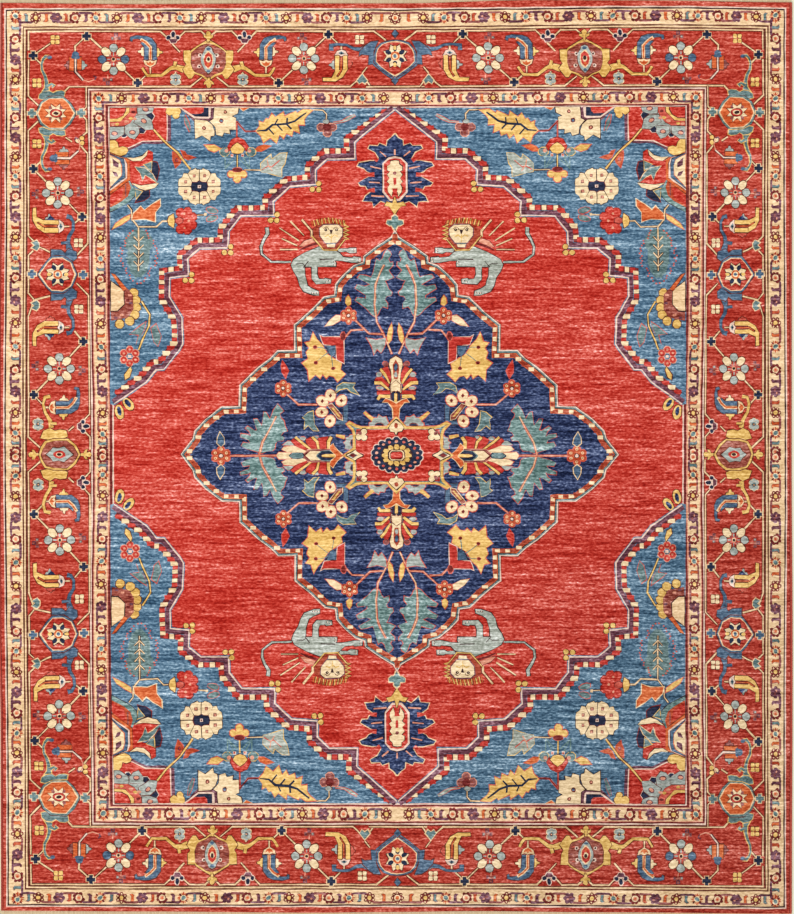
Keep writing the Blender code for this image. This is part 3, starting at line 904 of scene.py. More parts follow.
def tulip_cluster():
    """The tulip with its leaves, the bird-like leaf and the faint flower beside it."""
    made = line([(236.8, 121), (236.8, 139)], "coral", 1.1, "maroon", 0.5)
    made += line([(236.8, 122), (245.4, 131.2), (258, 131.2)], "maroon", 1.1, "coral", 0.4)
    made += edged([(204.6, 145.2), (214.4, 145), (220.6, 149), (214.4, 152), (208.6, 150.1)], "gold",
                  "coral", 0.8)
    made += edged([(254, 151.3), (258, 146.7), (263.8, 144.7), (271, 146.1), (261.5, 151.3)], "orange",
                  "coral", 0.6)
    for x in (224.7, 251):
        made += edge_round([oval(x, 152, 5, 4.4, "teal", 8)], "yellow", 0.5)
        made += [circle(x + (1.6 if x < 237 else -1.6), 150.8, 2.1, "pink", 6)]
    for side in (-1, 1):
        made += line([(237.3 + side * 12.2, 155.6), (237.3 + side * 12.2, 168.6),
                      (237.3 + side * 2, 159)], "leaf", 1.1, None)
        made += line([(237.3 + side * 12.2, 156), (237.3 + side * 6, 158), (237.3 + side * 11, 166)],
                     "leaf", 0.9, None)
    made += line([(237.3, 155), (237.3, 169)], "yellow", 1.2, "dark", 0.4)
    made += edged([(227.6, 146.7), (231.6, 139.8), (237.3, 137.3), (244.2, 139.8), (248.3, 146.7),
                   (246, 151), (241, 145), (237.3, 143), (233, 145), (229, 151)], "red", "maroon", 0.6)
    made += edged([(230.2, 149), (233, 145.4), (237.3, 142.8), (241.6, 145.4), (244.6, 149),
                   (242.4, 152.6), (237.3, 154), (232.2, 152.6)], "yellow", "brown", 0.6)
    made += [circle(232, 155.4, 2.2, "white", 4), circle(232, 155.4, 1.2, "coral", 4),
             circle(242.6, 155.4, 2.2, "white", 4), circle(242.6, 155.4, 1.2, "coral", 4)]
    made += line([(244.2, 169.8), (261, 170.2)], "cream", 1.0, "dark", 0.4)
    balls = [circle(-6.2, 0, 3.4, "yellow", 8), circle(6.2, 0, 3.4, "yellow", 8),
             circle(0, 4.6, 3.9, "yellow", 8), oval(0, 0, 5.4, 3, "yellow", 8)]
    made += placed(edge_round(balls, "coral", 0.8) + balls, 237.3, 174.2)
    made += edge_round([oval(237.3, 169.8, 5, 2.4, "maroon", 8)], "coral", 0.5)
    bird = [(260.6, 163.5), (270.7, 154.5), (272.1, 159.2), (280, 153.3), (286.8, 153), (284.6, 163.5),
            (281.4, 168.1), (281.6, 177), (273.5, 174.6), (261.2, 171.6)]
    made += edged(bird, "mist", "yellow", 0.5)
    made += line([(261.8, 169.9), (268, 166.2), (271.6, 167.2), (279.4, 160.4)], "coral", 0.9, None)
    made += line([(267.2, 159.6), (268.4, 165.4), (272.4, 171.4)], "pink", 0.9, None)
    made += line([(194, 215.4), (204, 214.8)], "cream", 1.0, "dark", 0.4)
    made += [circle(205.4, 214.4, 1.8, "cream", 4)]
    for y in (210.4, 218.4):
        made += edge_round([oval(212, y, 6, 2.9, "teal", 8, 15 if y < 214 else -15)], "coral", 0.6)
    return made


def yellow_leaf():
    """The serrated yellow leaf under the field's far edge, with its berry."""
    upper = [(255.5, 131.1), (259.6, 126), (259.2, 121.2), (263.2, 123), (266.1, 118.6), (268.4, 119.6),
             (271.7, 113.5), (275.4, 117.2), (283.2, 112), (284.2, 116.3), (295.7, 111.2), (297, 113.4),
             (303.1, 109.3), (313.3, 110)]
    lower = [(306.8, 115.3), (304, 119.1), (304.4, 125), (298, 124.6), (299.4, 132.9), (293, 130),
             (292, 135.7), (286, 133.4), (283.7, 138.5), (279.4, 134.4), (276.3, 143.1), (270.4, 137.6),
             (263.3, 142.6), (261, 136)]
    made = edged(upper + lower, "yellow", "coral", 0.7)
    made += [band([(257, 131.1), (266.1, 130.2), (272.6, 124.8), (285.5, 124), (294.8, 121),
                   (306.4, 112.4)], "ink", [1.2, 2.2, 2.2, 2.4, 2.0, 1.4])]
    for x, y, u, v in ((269, 128.6, 5, 6), (277, 124.6, 5.4, 6), (286.4, 124, 5, 5),
                       (275, 124.8, 2.6, -6), (287, 123.6, 0.4, -6)):
        made += line([(x, y), (x + u, y + v)], "ink", 1.5, None)
    made += line([(313.6, 109.8), (323, 110.2), (326.4, 114), (326.4, 120)], "cream", 1.0, "dark", 0.5)
    berry = [circle(321.2, 127.4, 3.9, "plum", 8), circle(332.4, 127.2, 3.9, "plum", 8),
             circle(327.4, 132.6, 4.1, "plum", 8), circle(327, 127, 4.2, "maroon", 8)]
    made += edge_round(berry, "pink", 0.7) + berry
    made += [circle(321.4, 127.4, 1.3, "dusty", 6), circle(332.4, 127.4, 1.3, "dusty", 6),
             circle(327.4, 133, 1.3, "dusty", 6)]
    made += edge_round([oval(326, 121.6, 3.3, 2.2, "pale", 8)], "brown", 0.4)
    made += line([(333, 122.6), (342, 121.6), (348, 118.6), (355, 115)], "mist", [0.8, 1.6, 3, 1.4],
                 "coral", 0.7)
    return made


def lower_leaves():
    """The vine, leaves and flowers in the lower part of the spandrel."""
    made = line([(127.4, 205), (131.5, 210), (131.9, 219.1), (138.2, 226.6), (156.4, 227), (162.2, 221.2),
                 (168.2, 221.2)], "cream", 1.2, "dark", 0.6)
    made += placed(faint_tree(), 138.6, 228)
    made += edged([(132.2, 219.6), (133.4, 213.6), (140.7, 206.4), (144.4, 210.4), (151.4, 205),
                   (160.2, 199.6), (160, 206), (155, 212.4), (155, 221.6), (146, 219)], "orange", "ivory",
                  0.8)
    made += edged([(129.9, 214.6), (129.4, 219), (121.6, 224.4), (112, 229.4), (115.4, 223.6),
                   (124, 217.4)], "yellow", "coral", 0.7)
    bloom = [circle(7.6 * math.cos(a) * 1.1, 9.6 * math.sin(a), 4.4, "red", 8)
             for a in (math.radians(d) for d in range(-120, 121, 48))]
    made += placed(edge_round(bloom, "maroon", 0.8) + [oval(0, 0, 8.4, 10, "red")], 184.8, 220.8)
    made += edged([(168.8, 216.6), (173.4, 213.8), (174.6, 220.8), (173.4, 227.8), (168.8, 225),
                   (167.4, 220.8)], "yellow", "brown", 0.7)
    made += edge_round([oval(179, 220.6, 4.2, 3.2, "coral", 6)], "maroon", 0.8)
    made += [circle(x, y, 1.3, "pink", 6) for x, y in ((184.2, 213.8), (188.8, 220.8), (184.6, 228))]
    return made


def faint_tree():
    """A faint teal tree with coral tips round a barbed cream stem; its top is the origin."""
    made = [oval(0, 29, 11.5, 21, "teal", 12), oval(0, 14, 14.5, 13, "teal", 12)]
    draw = random.Random(3)
    for side in (-1, 1):
        for i in range(22):
            y = 2 + i * 2.5
            reach = 17.5 * math.sin(math.pi * min(max((y + 6) / 64, 0), 1)) + draw.uniform(-2, 2)
            made.append(box(side * reach - 0.8, y, side * reach + 0.8, y + 1.5, "coral"))
            if i % 2:
                made.append(box(side * (reach - 5) - 0.7, y, side * (reach - 5) + 0.7, y + 1.2, "leaf"))
    made += line([(0, -1), (0, 43)], "cream", 1.2, "dark", 0.6)
    for y in (13.5, 21.8, 29.7, 38):
        made += line([(-5, y - 5), (0, y), (5, y - 5)], "cream", 1.0, "dark", 0.5)
    return made


def ribbed_palmette():
    """The ribbed half palmette on the field's left edge, with its vine."""
    made = line([(141.5, 301.3), (149.9, 314.6), (148.9, 325.9), (142, 341), (138.7, 349.7)], "yellow",
                1.4, "dark", 0.6)
    made += edged([(130, 334), (140, 326), (146, 322), (144, 330), (136, 345), (139, 335)], "teal",
                  "coral", 0.7)
    made += edged([(151, 328), (156, 324), (161, 336), (158, 346), (154, 342)], "teal", "coral", 0.7)
    for x, y in ((134.6, 292.9), (137, 300.4), (137.4, 307.6), (135.6, 314.8), (130.7, 321), (120.6, 324)):
        made += edge_round([circle(x - 1, y, 4.6, "gold", 8)], "brown", 0.7)
    made += [Patch([(111, 289), (128, 289), (133, 295), (133.6, 309), (128, 317.4), (111, 321)], "dusty")]
    for x, y, wool in ((128, 294, "pink"), (129, 302, "mauve"), (127.6, 309, "maroon"),
                       (120, 314, "pink"), (114, 316.6, "mauve"), (126, 299, "maroon")):
        made.append(box(x, y, x + 3.6, y + 2.2, wool))
    made += edged([(111, 281.6), (123.4, 290), (124, 304), (117.6, 310.6), (111, 311)], "cream", "dark", 1.0)
    made += edged([(111.4, 273.6), (114.8, 274.6), (126.8, 288.8), (123.4, 291)], "orange", "brown", 0.6)
    bloom = petals(6, 6.7, 3.4, 3.4, "check_red", 30)
    bloom = edge_round(bloom, "pink", 0.7) + petals(6, 6.7, 1.3, 1.3, "pink", 30, 6)
    made += placed(bloom + [circle(0, 0, 2.3, "white", 4)], 129.6, 356.4)
    made += edged([(130.4, 366.4), (131.8, 370), (129.4, 377), (125.2, 380), (124.6, 375)], "yellow",
                  "brown", 0.7)
    return made


def half_flower():
    """The half flower with yellow rings where the spandrel ends at the field's side."""
    made = []
    for x, y, turn in ((128.4, 404, -38), (119.4, 412, -12)):
        made += placed(edge_round([oval(0, 0, 4.4, 7.4, "yellow", 10)], "brown", 0.8)
                       + [oval(0, -1, 2.2, 4.8, "navy", 8)], x, y, turn)
    return made


# Field ornaments

def pendant():
    """The navy palmette between the spandrels' point and the medallion."""
    x = MID_X - 0.2
    half = [(x, 134.2), (x - 3.2, 137.6), (x - 7.6, 140.3), (x - 8.2, 146), (x - 15, 143.4), (x - 17, 146),
            (x - 25.4, 145.6), (x - 26.8, 148.4), (x - 19.6, 152), (x - 16, 158), (x - 21, 161),
            (x - 25, 160.6), (x - 35.6, 162.8), (x - 37.4, 166), (x - 30.6, 168.6), (x - 28, 171.4),
            (x - 20.6, 174.6), (x - 29.8, 179), (x - 36.4, 183), (x - 34.6, 185.6), (x - 29, 186),
            (x - 27.6, 188.8), (x - 22.6, 191), (x - 29.4, 196), (x - 31.6, 201), (x - 22.4, 201.6),
            (x - 21.2, 206.6), (x - 14, 201), (x - 8, 203)]
    made = edged(whole(half, x=x), "navy", "cream", 0.8)
    for side in (-1, 1):
        for a, b, u, v in ((-15, 151.4, -8.6, 156.4), (-24.6, 166.2, -14, 168.6), (-26, 182, -15, 183),
                           (-23.4, 195.8, -10.6, 196.4)):
            made += line([(x + side * a, b), (x + side * u, v)], "pink", 1.3, None)
        for u, v, w, z in ((-25, 154.6, -17, 160.6), (-29.6, 175, -20.6, 174.6), (-27, 190.6, -20, 190)):
            made += line([(x + side * u, v), (x + side * w, z)], "red", [1.6, 3.2], "coral", 0.6)
    made += line([(x, 149.6), (x, 155)], "pink", 1.3, None)
    ring = [(x, 156.2), (x - 6.8, 157.6), (x - 12.2, 163.4), (x - 12.2, 192.2), (x - 5, 201)]
    made += edged(whole(ring, x=x), "white", "dark", 0.4)
    core = [(x, 158), (x - 6, 159.2), (x - 10.6, 164), (x - 10.6, 191.4), (x - 4, 199)]
    made += [Patch(whole(core, x=x), "red")]
    tree = [(x, 160.4), (x - 4, 161), (x - 4.4, 164), (x - 7.4, 166.4), (x - 7.4, 170), (x - 4.6, 171.4),
            (x - 7.4, 174.6), (x - 5, 178.4), (x - 7.6, 181.6), (x - 5, 184), (x - 7, 187.6),
            (x - 6.6, 192), (x - 3.4, 196.6), (x - 2.6, 192), (x, 191)]
    made += edged(whole(tree, x=x), "ivory", "dark", 0.5)
    made += [circle(x, 173, 1.9, "plum", 8)]
    made += [Patch([(x - 1.6, 177.6), (x + 1.6, 177.6), (x + 1.4, 184), (x, 185.6), (x - 1.4, 184)],
                   "check_red")]
    made += [Patch([(x - 2.8, 188.6), (x + 2.8, 188.6), (x + 1.8, 193), (x - 1.8, 193)], "check_red")]
    foot = [(x, 196.4), (x - 2.2, 203.4), (x - 8, 201.6), (x - 10.6, 205.4), (x - 5.6, 206.4),
            (x - 3.2, 210), (x, 214.6)]
    made += edged(whole(foot, x=x), "gold", "brown", 0.5)
    tip = [(x, 215), (x - 2.8, 217), (x - 3, 220), (x - 7.6, 220.4), (x - 8.2, 223.6), (x - 5.4, 225.4),
           (x - 3, 225.6), (x, 230.4)]
    return made + edged(whole(tip, x=x), "leaf", "cream", 0.8)


def lion():
    """A lion with a frontal face, walking towards the medallion, its tail up and rays over its back."""
    made = []
    for a, b in (((279.1, 227.9), (298.7, 240.7)), ((290.3, 221.2), (304.2, 235.7)),
                 ((281.9, 238.5), (297.5, 245.7)), ((279.7, 249.6), (297.5, 249.3))):
        made += line([a, b], "cream", 1.1, "brown", 0.5)
    made += line([(302, 219.6), (311.6, 231), (311.4, 237)], "cream", 1.9, "brown", 0.5)
    tail = [(291, 262), (271.3, 261.9), (261.6, 254.1), (261, 246.8), (263.7, 240.1), (267.6, 233.4),
            (267, 227.4)]
    made += line(tail, "mist", [1.4, 1.4, 1.6, 1.9, 2.2, 3, 3.2], "dark", 0.8)
    made += edged([(299, 246.6), (304, 241), (312.4, 238.2), (314.4, 241.4), (306, 246.4)], "pink",
                  "maroon", 0.5)
    made += line([(299, 250.2), (306, 246.8), (318, 242.8)], "maroon", [1.2, 2.2, 3], "coral", 0.4)
    body = [(320.2, 246.4), (334, 250.6), (338.6, 252.4), (343, 257), (352.4, 258), (353, 256.8),
            (360.6, 257.4), (360.8, 262.4), (352.4, 262.6), (341.9, 260.4), (334.6, 260.6), (336, 263),
            (335.6, 266.4), (317.4, 266.6), (317.2, 274), (318.6, 279), (324, 279.4), (325.4, 278.4),
            (330.9, 279.4), (330.6, 283.2), (316, 284), (312, 279), (311.6, 266.8), (304.4, 266.8),
            (305, 276), (307.6, 285.6), (311.8, 288.4), (318.4, 291.2), (318.8, 295.2), (313.2, 295),
            (303.4, 291.4), (299.8, 285.8), (297.6, 277.4), (293.4, 270.6), (290.8, 264.8), (293.6, 259.2),
            (305.6, 252.4)]
    made += edged([(337, 248.8), (347.6, 248.8), (349.6, 247.8), (356, 248), (356.2, 252.6),
                   (349.4, 253.2), (346, 251.4), (339, 252)], "mist", "dark", 0.8)
    made += edged(body, "mist", "dark", 0.8)
    made += line([(319.5, 259.4), (334, 259.2)], "dark", 0.9, None)
    made += line([(308.6, 261), (306, 264.4), (303.6, 267.4)], "dark", 0.9, None)
    made += line([(296, 264), (302, 263.6), (306, 266.4)], "dark", 0.7, None)
    for x, y in ((354.8, 249.6), (354.8, 251.6), (359.4, 259), (359.2, 261.2), (334.6, 262), (334.6, 265),
                 (329.4, 280.6), (326.6, 282), (317.4, 292.8), (315, 293.4), (312.6, 293)):
        made += [box(x - 0.5, y - 0.7, x + 0.5, y + 0.7, "white"),
                 box(x - 1.3, y - 0.6, x - 0.6, y + 0.6, "dark")]
    mane = [(313, 229), (318, 225.6), (331.1, 222.6), (343, 225), (346.6, 230), (345, 238), (336.4, 250),
            (323.6, 249.8), (314, 240)]
    made += edged(mane, "brick", "maroon", 0.4)
    for i in range(19):
        x, y = 312 + i * 1.85, 226.6 - 3.4 * math.sin(math.pi * i / 18)
        made += line([(x + 1.2, y), (x - 0.6 + (i % 3) * 0.5, y - 5.6)], "gold" if i % 2 else "orange",
                     1.0, "brown", 0.35)
    for y in (226, 230, 234, 238):
        made += line([(343.4, y - 1.8), (348.6, y + 0.6), (344, y + 1.8)], "gold", 1.1, "brown", 0.3)
    made += line([(311.6, 235.6), (323.4, 249.8), (336.6, 250.2), (345, 239.4)], "gold", 1.1, "brown", 0.4)
    face = [(319.6, 228.4), (323.6, 224.9), (338.4, 224.9), (342.6, 228.8), (342.2, 235.8), (336.8, 242.8),
            (325.6, 242.8), (320, 235.8)]
    made += edged(face, "ivory", "mauve", 1.0)
    for side in (-1, 1):
        x = 331.1 + side * 5.3
        made += [oval(x, 229.8, 1.7, 1.4, "dark", 8), oval(x, 229.7, 0.5, 0.5, "ivory", 6)]
        made += line([(x + side * 2.4, 228.8), (x, 227), (x - side * 2, 227.8), (x - side * 3.2, 229.6)],
                     "brown", 0.7, None)
        made += line([(x + side * 1.4, 236.4), (331.1 + side * 3, 235), (331.1, 238)], "gold", 0.9, None)
    made += [Patch([(329.4, 229.8), (332.8, 229.8), (331.6, 234.2), (330.6, 234.2)], "dark")]
    made += line([(331.1, 234), (331.1, 242)], "gold", 0.8, None)
    made += edged([(326.4, 243.6), (335.6, 243.6), (334.4, 247.2), (327.6, 247.2)], "ivory", "mauve", 0.5)
    return made + [box(326.6, 243.2, 335.4, 244, "teal")]


# Medallion

MEDALLION_EDGE = [
    (395, 229.5), (391.2, 236.7), (377.4, 245.4), (363.4, 255.8), (362.6, 262), (353.5, 265),
    (342.8, 274.9), (335, 284.3), (334, 294.7),
    (323.8, 296.6), (309.1, 311.5), (293.7, 324.7), (294.3, 350.3), (277.6, 350), (269.9, 358.2),
    (257.7, 367.3), (239.3, 385), (238.8, 406),
    (221.6, 406.5), (205.4, 418.9), (194.3, 430.9), (192.4, 438.5), (180.5, 454.5),
]


def medallion_ground():
    ring = MEDALLION_EDGE + [(x, 2 * MID_Y - y) for x, y in MEDALLION_EDGE[::-1][1:]]
    ring += [(2 * MID_X - x, y) for x, y in ring[::-1][1:-1]]
    made = [Patch(grown(ring, 0.5), "brown"), Patch(ring, "white"), Patch(grown(ring, -1.0), "teal")]
    made += [Patch(grown(ring, -2.5), "dark"), Patch(grown(ring, -3.1), "orange"),
             Patch(grown(ring, -4.0), "navy")]
    return made


def medallion_checks():
    inner = shifted(MEDALLION_EDGE, 5.4, False)
    inner[0] = (MID_X, inner[0][1] + 2)
    inner[-1] = (inner[-1][0] + 2, MID_Y)
    made = [band(inner, "orange", 4.6)]
    made += blocks_along(inner, (4.8, 5.2, 7.2), ((4.8, 3.4), (3.6, 4.4), (5.6, 3.6)), ["brick", "ivory"],
                         "brick", 3.4)
    return made


def north_leaf():
    """The left one of the serrated leaves in the medallion's far arm."""
    leaf = [(386.8, 249.1), (390, 251.6), (391.3, 254.6), (388.6, 259), (390.2, 262.4), (392.8, 262),
            (393, 265.6), (388.4, 270.3), (390.6, 273.4), (393.5, 277.5), (388, 280), (384.6, 280.6),
            (386.8, 284), (388.4, 288.6), (392, 292.4), (391, 295.6), (386.6, 296), (384.6, 299.4),
            (387.6, 303.4), (387.4, 308.2), (382.6, 306.6), (380.1, 309.3), (378.4, 314), (375.7, 317.1),
            (371.4, 314.6), (367, 309.3), (359.6, 303.3), (355.2, 300.6), (356.6, 297.4), (365.6, 298.6),
            (366, 295.6), (360, 291.4), (355, 288.4), (357, 284.6), (365, 286.4), (369.6, 284.2),
            (364, 281), (357.4, 277.6), (359.8, 274.6), (366, 275.4), (371.2, 277.2), (373.2, 272),
            (374.5, 266), (376.4, 258.6), (379.6, 261), (382.4, 258.4), (384.4, 252.6)]
    made = edged(leaf, "leaf", "coral", 0.5)
    for a, b, u, v in ((368, 300, -5, -2.4), (368, 288, -5, -2), (380, 296, 5, -3), (372, 308, -5, -5),
                       (381, 284, 4, -4), (384, 270, 3, -3)):
        made += line([(a, b), (a + u, b + v)], "teal", 0.8, None)
    rib = [(384.2, 264.5), (379.1, 274.7), (375.3, 285), (374.6, 304.1), (376.5, 321.9), (382.9, 333.4),
           (391.6, 354)]
    return made + line(rib, "cream", 0.8, "coral", 0.6)


def little_flower(x, y, wool="rust", size=1.0):
    """Six box-like petals, each with a light eye."""
    places = [(-4.9, -2.3), (-4.9, 2.3), (4.9, -2.3), (4.9, 2.3), (0, -5.6), (0, 5.6)]
    lobes = [circle(u, v, 2.9, wool, 8) for u, v in places]
    made = edge_round(lobes, "coral", 0.6) + lobes + [circle(0, 0, 4.4, wool, 8)]
    for u, v in places:
        made += [circle(u, v, 1.4, "cream", 6), circle(u, v, 0.6, wool, 6)]
    return placed(made + [circle(0, 0, 2.3, "dark", 8), circle(0, 0, 1.5, "white", 6)], x, y, 0, size)


def north_flowers():
    """The sprays on the far side of the medallion's navy ground."""
    made = line([(355, 320), (368.9, 333.6), (383, 334.2)], "pink", 1.1, "rust", 0.5)
    made += line([(363, 329.6), (351, 330.2), (345.6, 336.6)], "pink", 1.1, "rust", 0.5)
    made += edged([(345.4, 303), (346, 298), (348.2, 295.4), (350.6, 299), (351, 304), (348, 306)],
                  "gold", "rust", 0.6)
    made += edged([(340.6, 315.6), (336, 315.2), (329.6, 320), (324.6, 326.4), (332.6, 325),
                   (340.4, 320.6)], "ivory", "coral", 0.6)
    made += little_flower(348.5, 315.6)
    maple = [(313.2, 332.6), (317, 339.6), (322.1, 345.1), (327.6, 354.4), (334.6, 358.8), (341.4, 363.6),
             (340, 369.8), (345, 374), (337.4, 381.6), (333.8, 376.6), (329, 375.4), (326.4, 378.4),
             (322.2, 373.6), (320.2, 378.4), (315.4, 374.4), (308.8, 380.6), (307.6, 369.6), (302, 363),
             (308.4, 358.8), (306.2, 352.4), (309.2, 348), (305.2, 342.8), (310.4, 341.4)]
    made += edged(maple, "yellow", "coral", 0.8)
    for x, y in ((315, 347.2), (315.6, 362.7), (333, 368.4)):
        made += line([(x, y), (322 if x < 330 else 331.6, 347.4 if y < 350 else 357), (330, 351)], "teal",
                     0.7, None)
        made += edge_round([oval(x, y, 1.8, 1.5, "maroon", 8)], "coral", 0.4)
    bracket = [(320.2, 335.2), (323, 337), (343.4, 337), (343.8, 363), (336.6, 359.6), (336, 346),
               (323.4, 344.4)]
    made += edged(bracket, "check_red", "white", 0.7)
    made += edged([(326.2, 346), (335, 345.8), (335.2, 354), (332.6, 356.2), (329.6, 354.6)], "blue",
                  "dark", 0.6)
    made += edge_round([oval(342.8, 336.2, 2.4, 4.2, "maroon", 8)], "coral", 0.8)
    made += edged([(391.6, 323), (392.6, 331), (391, 340), (388.4, 343.4), (386.6, 338), (388.4, 329)],
                  "yellow", "coral", 0.5)
    drop = [(366.4, 338), (376, 340), (385.6, 337.8), (385, 345.4), (380.6, 352.8), (377, 349),
            (373.6, 354.4), (371.2, 345.6)]
    return made + edged(drop, "pale", "coral", 0.7)


def west_leaf():
    """One of the serrated leaves in the medallion's side arm."""
    leaf = [(277.6, 404.1), (280.6, 407.6), (283.5, 410.9), (280, 413.6), (281, 417.8), (284, 421),
            (285, 426), (287.2, 430.8), (283.4, 432), (281, 435.6), (284.4, 437.6), (283, 440.6),
            (277.4, 441), (275.5, 443.9), (275, 448), (272.8, 450.7), (267, 451.2), (261.8, 453.5),
            (253.6, 450.7), (247, 449), (241.2, 445.9), (243, 442.4), (250, 443.4), (248.6, 440),
            (240.4, 436.6), (240.6, 433.6), (248, 434.6), (251, 436.4), (249, 431.6), (245.4, 428.4),
            (247.6, 426), (254.6, 430.8), (257, 430), (255, 424), (253.8, 419.2), (257, 419),
            (261.8, 425.7), (263, 419), (263.5, 412), (266.4, 412.4), (270, 418.8), (272, 414),
            (273.4, 410.2)]
    made = edged(leaf, "leaf", "coral", 0.5)
    for x, y, u, v in ((264, 436, -6, -5), (271.6, 428, 6, 1), (262.4, 442.6, 8, 1), (267, 429, -4, -6),
                       (260, 447, -9, -3), (256, 441, -5, -4)):
        made += line([(x, y), (x + u, y + v)], "teal", 0.8, None)
    made += line([(276.1, 416.4), (269.9, 429), (262.4, 442.3), (259, 455.6)], "cream", 0.8, "coral", 0.6)
    return made


def west_flowers():
    """The sprays on the left side of the medallion's navy ground."""
    made = line([(287, 394.5), (298.6, 404.6), (317, 404.6)], "pink", 1.1, "rust", 0.5)
    made += edged([(282.6, 360.6), (285.4, 364.6), (288.6, 370.6), (285.6, 378.4), (281.8, 372.6),
                   (281.4, 366)], "red", "coral", 0.6)
    made += little_flower(283.2, 388.3)
    ribbon_leaf = [(335.1, 393.4), (337.2, 386), (342.7, 382.8), (355, 383.2), (352.6, 387.4),
                   (358.6, 394.8), (350.9, 392), (346.4, 388), (339.9, 389.4)]
    made += edged(ribbon_leaf, "teal", "yellow", 0.5)
    made += edged([(302.6, 417.4), (308, 412.4), (313, 411), (314.3, 424.6), (318.4, 431), (313.4, 430.4),
                   (307.9, 425.5), (304.2, 429), (305, 419.4)], "teal", "yellow", 0.5)
    made += edged([(342.9, 404.7), (347.6, 404.7), (347.2, 424.6), (332.4, 424.8), (334.6, 421.4),
                   (343.4, 420.6)], "blue", "dark", 0.6)
    places = ((322.1, 401.2), (330.3, 395.7), (341.2, 400.6), (321.6, 412), (329.7, 421))
    flower = [oval(x, y, 6.2, 5.1, "ivory", 10, math.degrees(math.atan2(410 - y, 334 - x)))
              for x, y in places]
    made += edge_round(flower, "coral", 0.8)
    for x, y in places:
        made += edged([(x - 1.5, y), (x, y - 1.8), (x + 1.5, y), (x, y + 1.8)], "maroon", "rust", 0.3)
    made += edged([(327.4, 405), (331.4, 403.6), (341.8, 415.4), (342, 420), (337.6, 418.6)], "dusty",
                  "ivory", 0.6)
    return made + [Patch([(331, 408), (333.4, 407.4), (340.6, 417), (338.6, 417)], "gold")]


def fan_petal(points, wool, edge="brown"):
    return edged(points, wool, edge, 0.45)


def fan_palmette():
    """The palmette between the medallion's middle and its far arm, its foot towards the middle."""
    half = [circle(385, 364, 2.7, "plum", 8), oval(379, 374.6, 2.9, 2.6, "pale", 8),
            oval(379.6, 388, 3.6, 1.9, "pale", 8)]
    half = edge_round(half, "coral", 0.5)
    half += fan_petal([(381.6, 368.6), (387, 366), (390.8, 374.6), (390.4, 383), (386, 377.6)], "check_red")
    half += fan_petal([(375.8, 377.6), (381.5, 377), (389, 384.6), (388, 387), (383.5, 384.8),
                       (374.2, 381)], "check_red")
    half += fan_petal([(376.6, 391.2), (389.9, 390.4), (389.9, 394.2), (376.6, 394.6)], "check_red")
    half += line([(380, 368.8), (384.4, 374.6), (389.4, 383.4)], "yellow", [2.6, 2.4, 1.6], "brown", 0.5)
    half += line([(374, 382.8), (380.5, 383), (388.6, 389.8)], "yellow", [3, 3, 1.8], "brown", 0.5)
    half += line([(377.4, 399.6), (379.6, 396.2), (389.6, 396.6)], "yellow", [2.4, 3, 3.4], "brown", 0.5)
    x = 395.4
    made = half + mirrored(half, x=x)
    centre = [(x, 356.2), (x - 5.4, 359.4), (x - 6.8, 364.8), (x - 4.8, 371), (x - 3.8, 380),
              (x - 5.6, 386), (x - 5, 393), (x, 395)]
    made += edged(whole(centre, x=x), "ivory", "brown", 0.6)
    made += [Patch([(x, 359.6), (x - 2.8, 364.4), (x - 3, 371), (x - 2, 379), (x + 2, 379), (x + 3, 371),
                    (x + 2.8, 364.4)], "brick")]
    made += [oval(x, 367.2, 2.2, 4, "ink", 8), oval(x, 367.2, 1.6, 3.3, "blue", 8),
             oval(x, 374.6, 1.6, 3, "pale", 8)]
    made += edged([(x, 380.6), (x - 4.4, 384.6), (x - 4.4, 391), (x + 4.4, 391), (x + 4.4, 384.6)],
                  "ivory", "maroon", 0.6)
    made += edged([(x - 4.4, 402), (x - 4.4, 393), (x - 1.4, 391), (x, 393.6), (x + 1.4, 391),
                   (x + 4.4, 393), (x + 4.4, 402)], "ink", "maroon", 0.5)
    made += line([(x, 393.6), (x, 404)], "yellow", 2.6, "brown", 0.5)
    fork = [(x, 404), (x - 6, 400), (x - 10, 398.6), (x - 12.6, 402), (x - 8, 402.4), (x - 3.2, 408.4),
            (x - 2.8, 418)]
    return made + edged(whole(fork, x=x), "orange", "cream", 0.6)


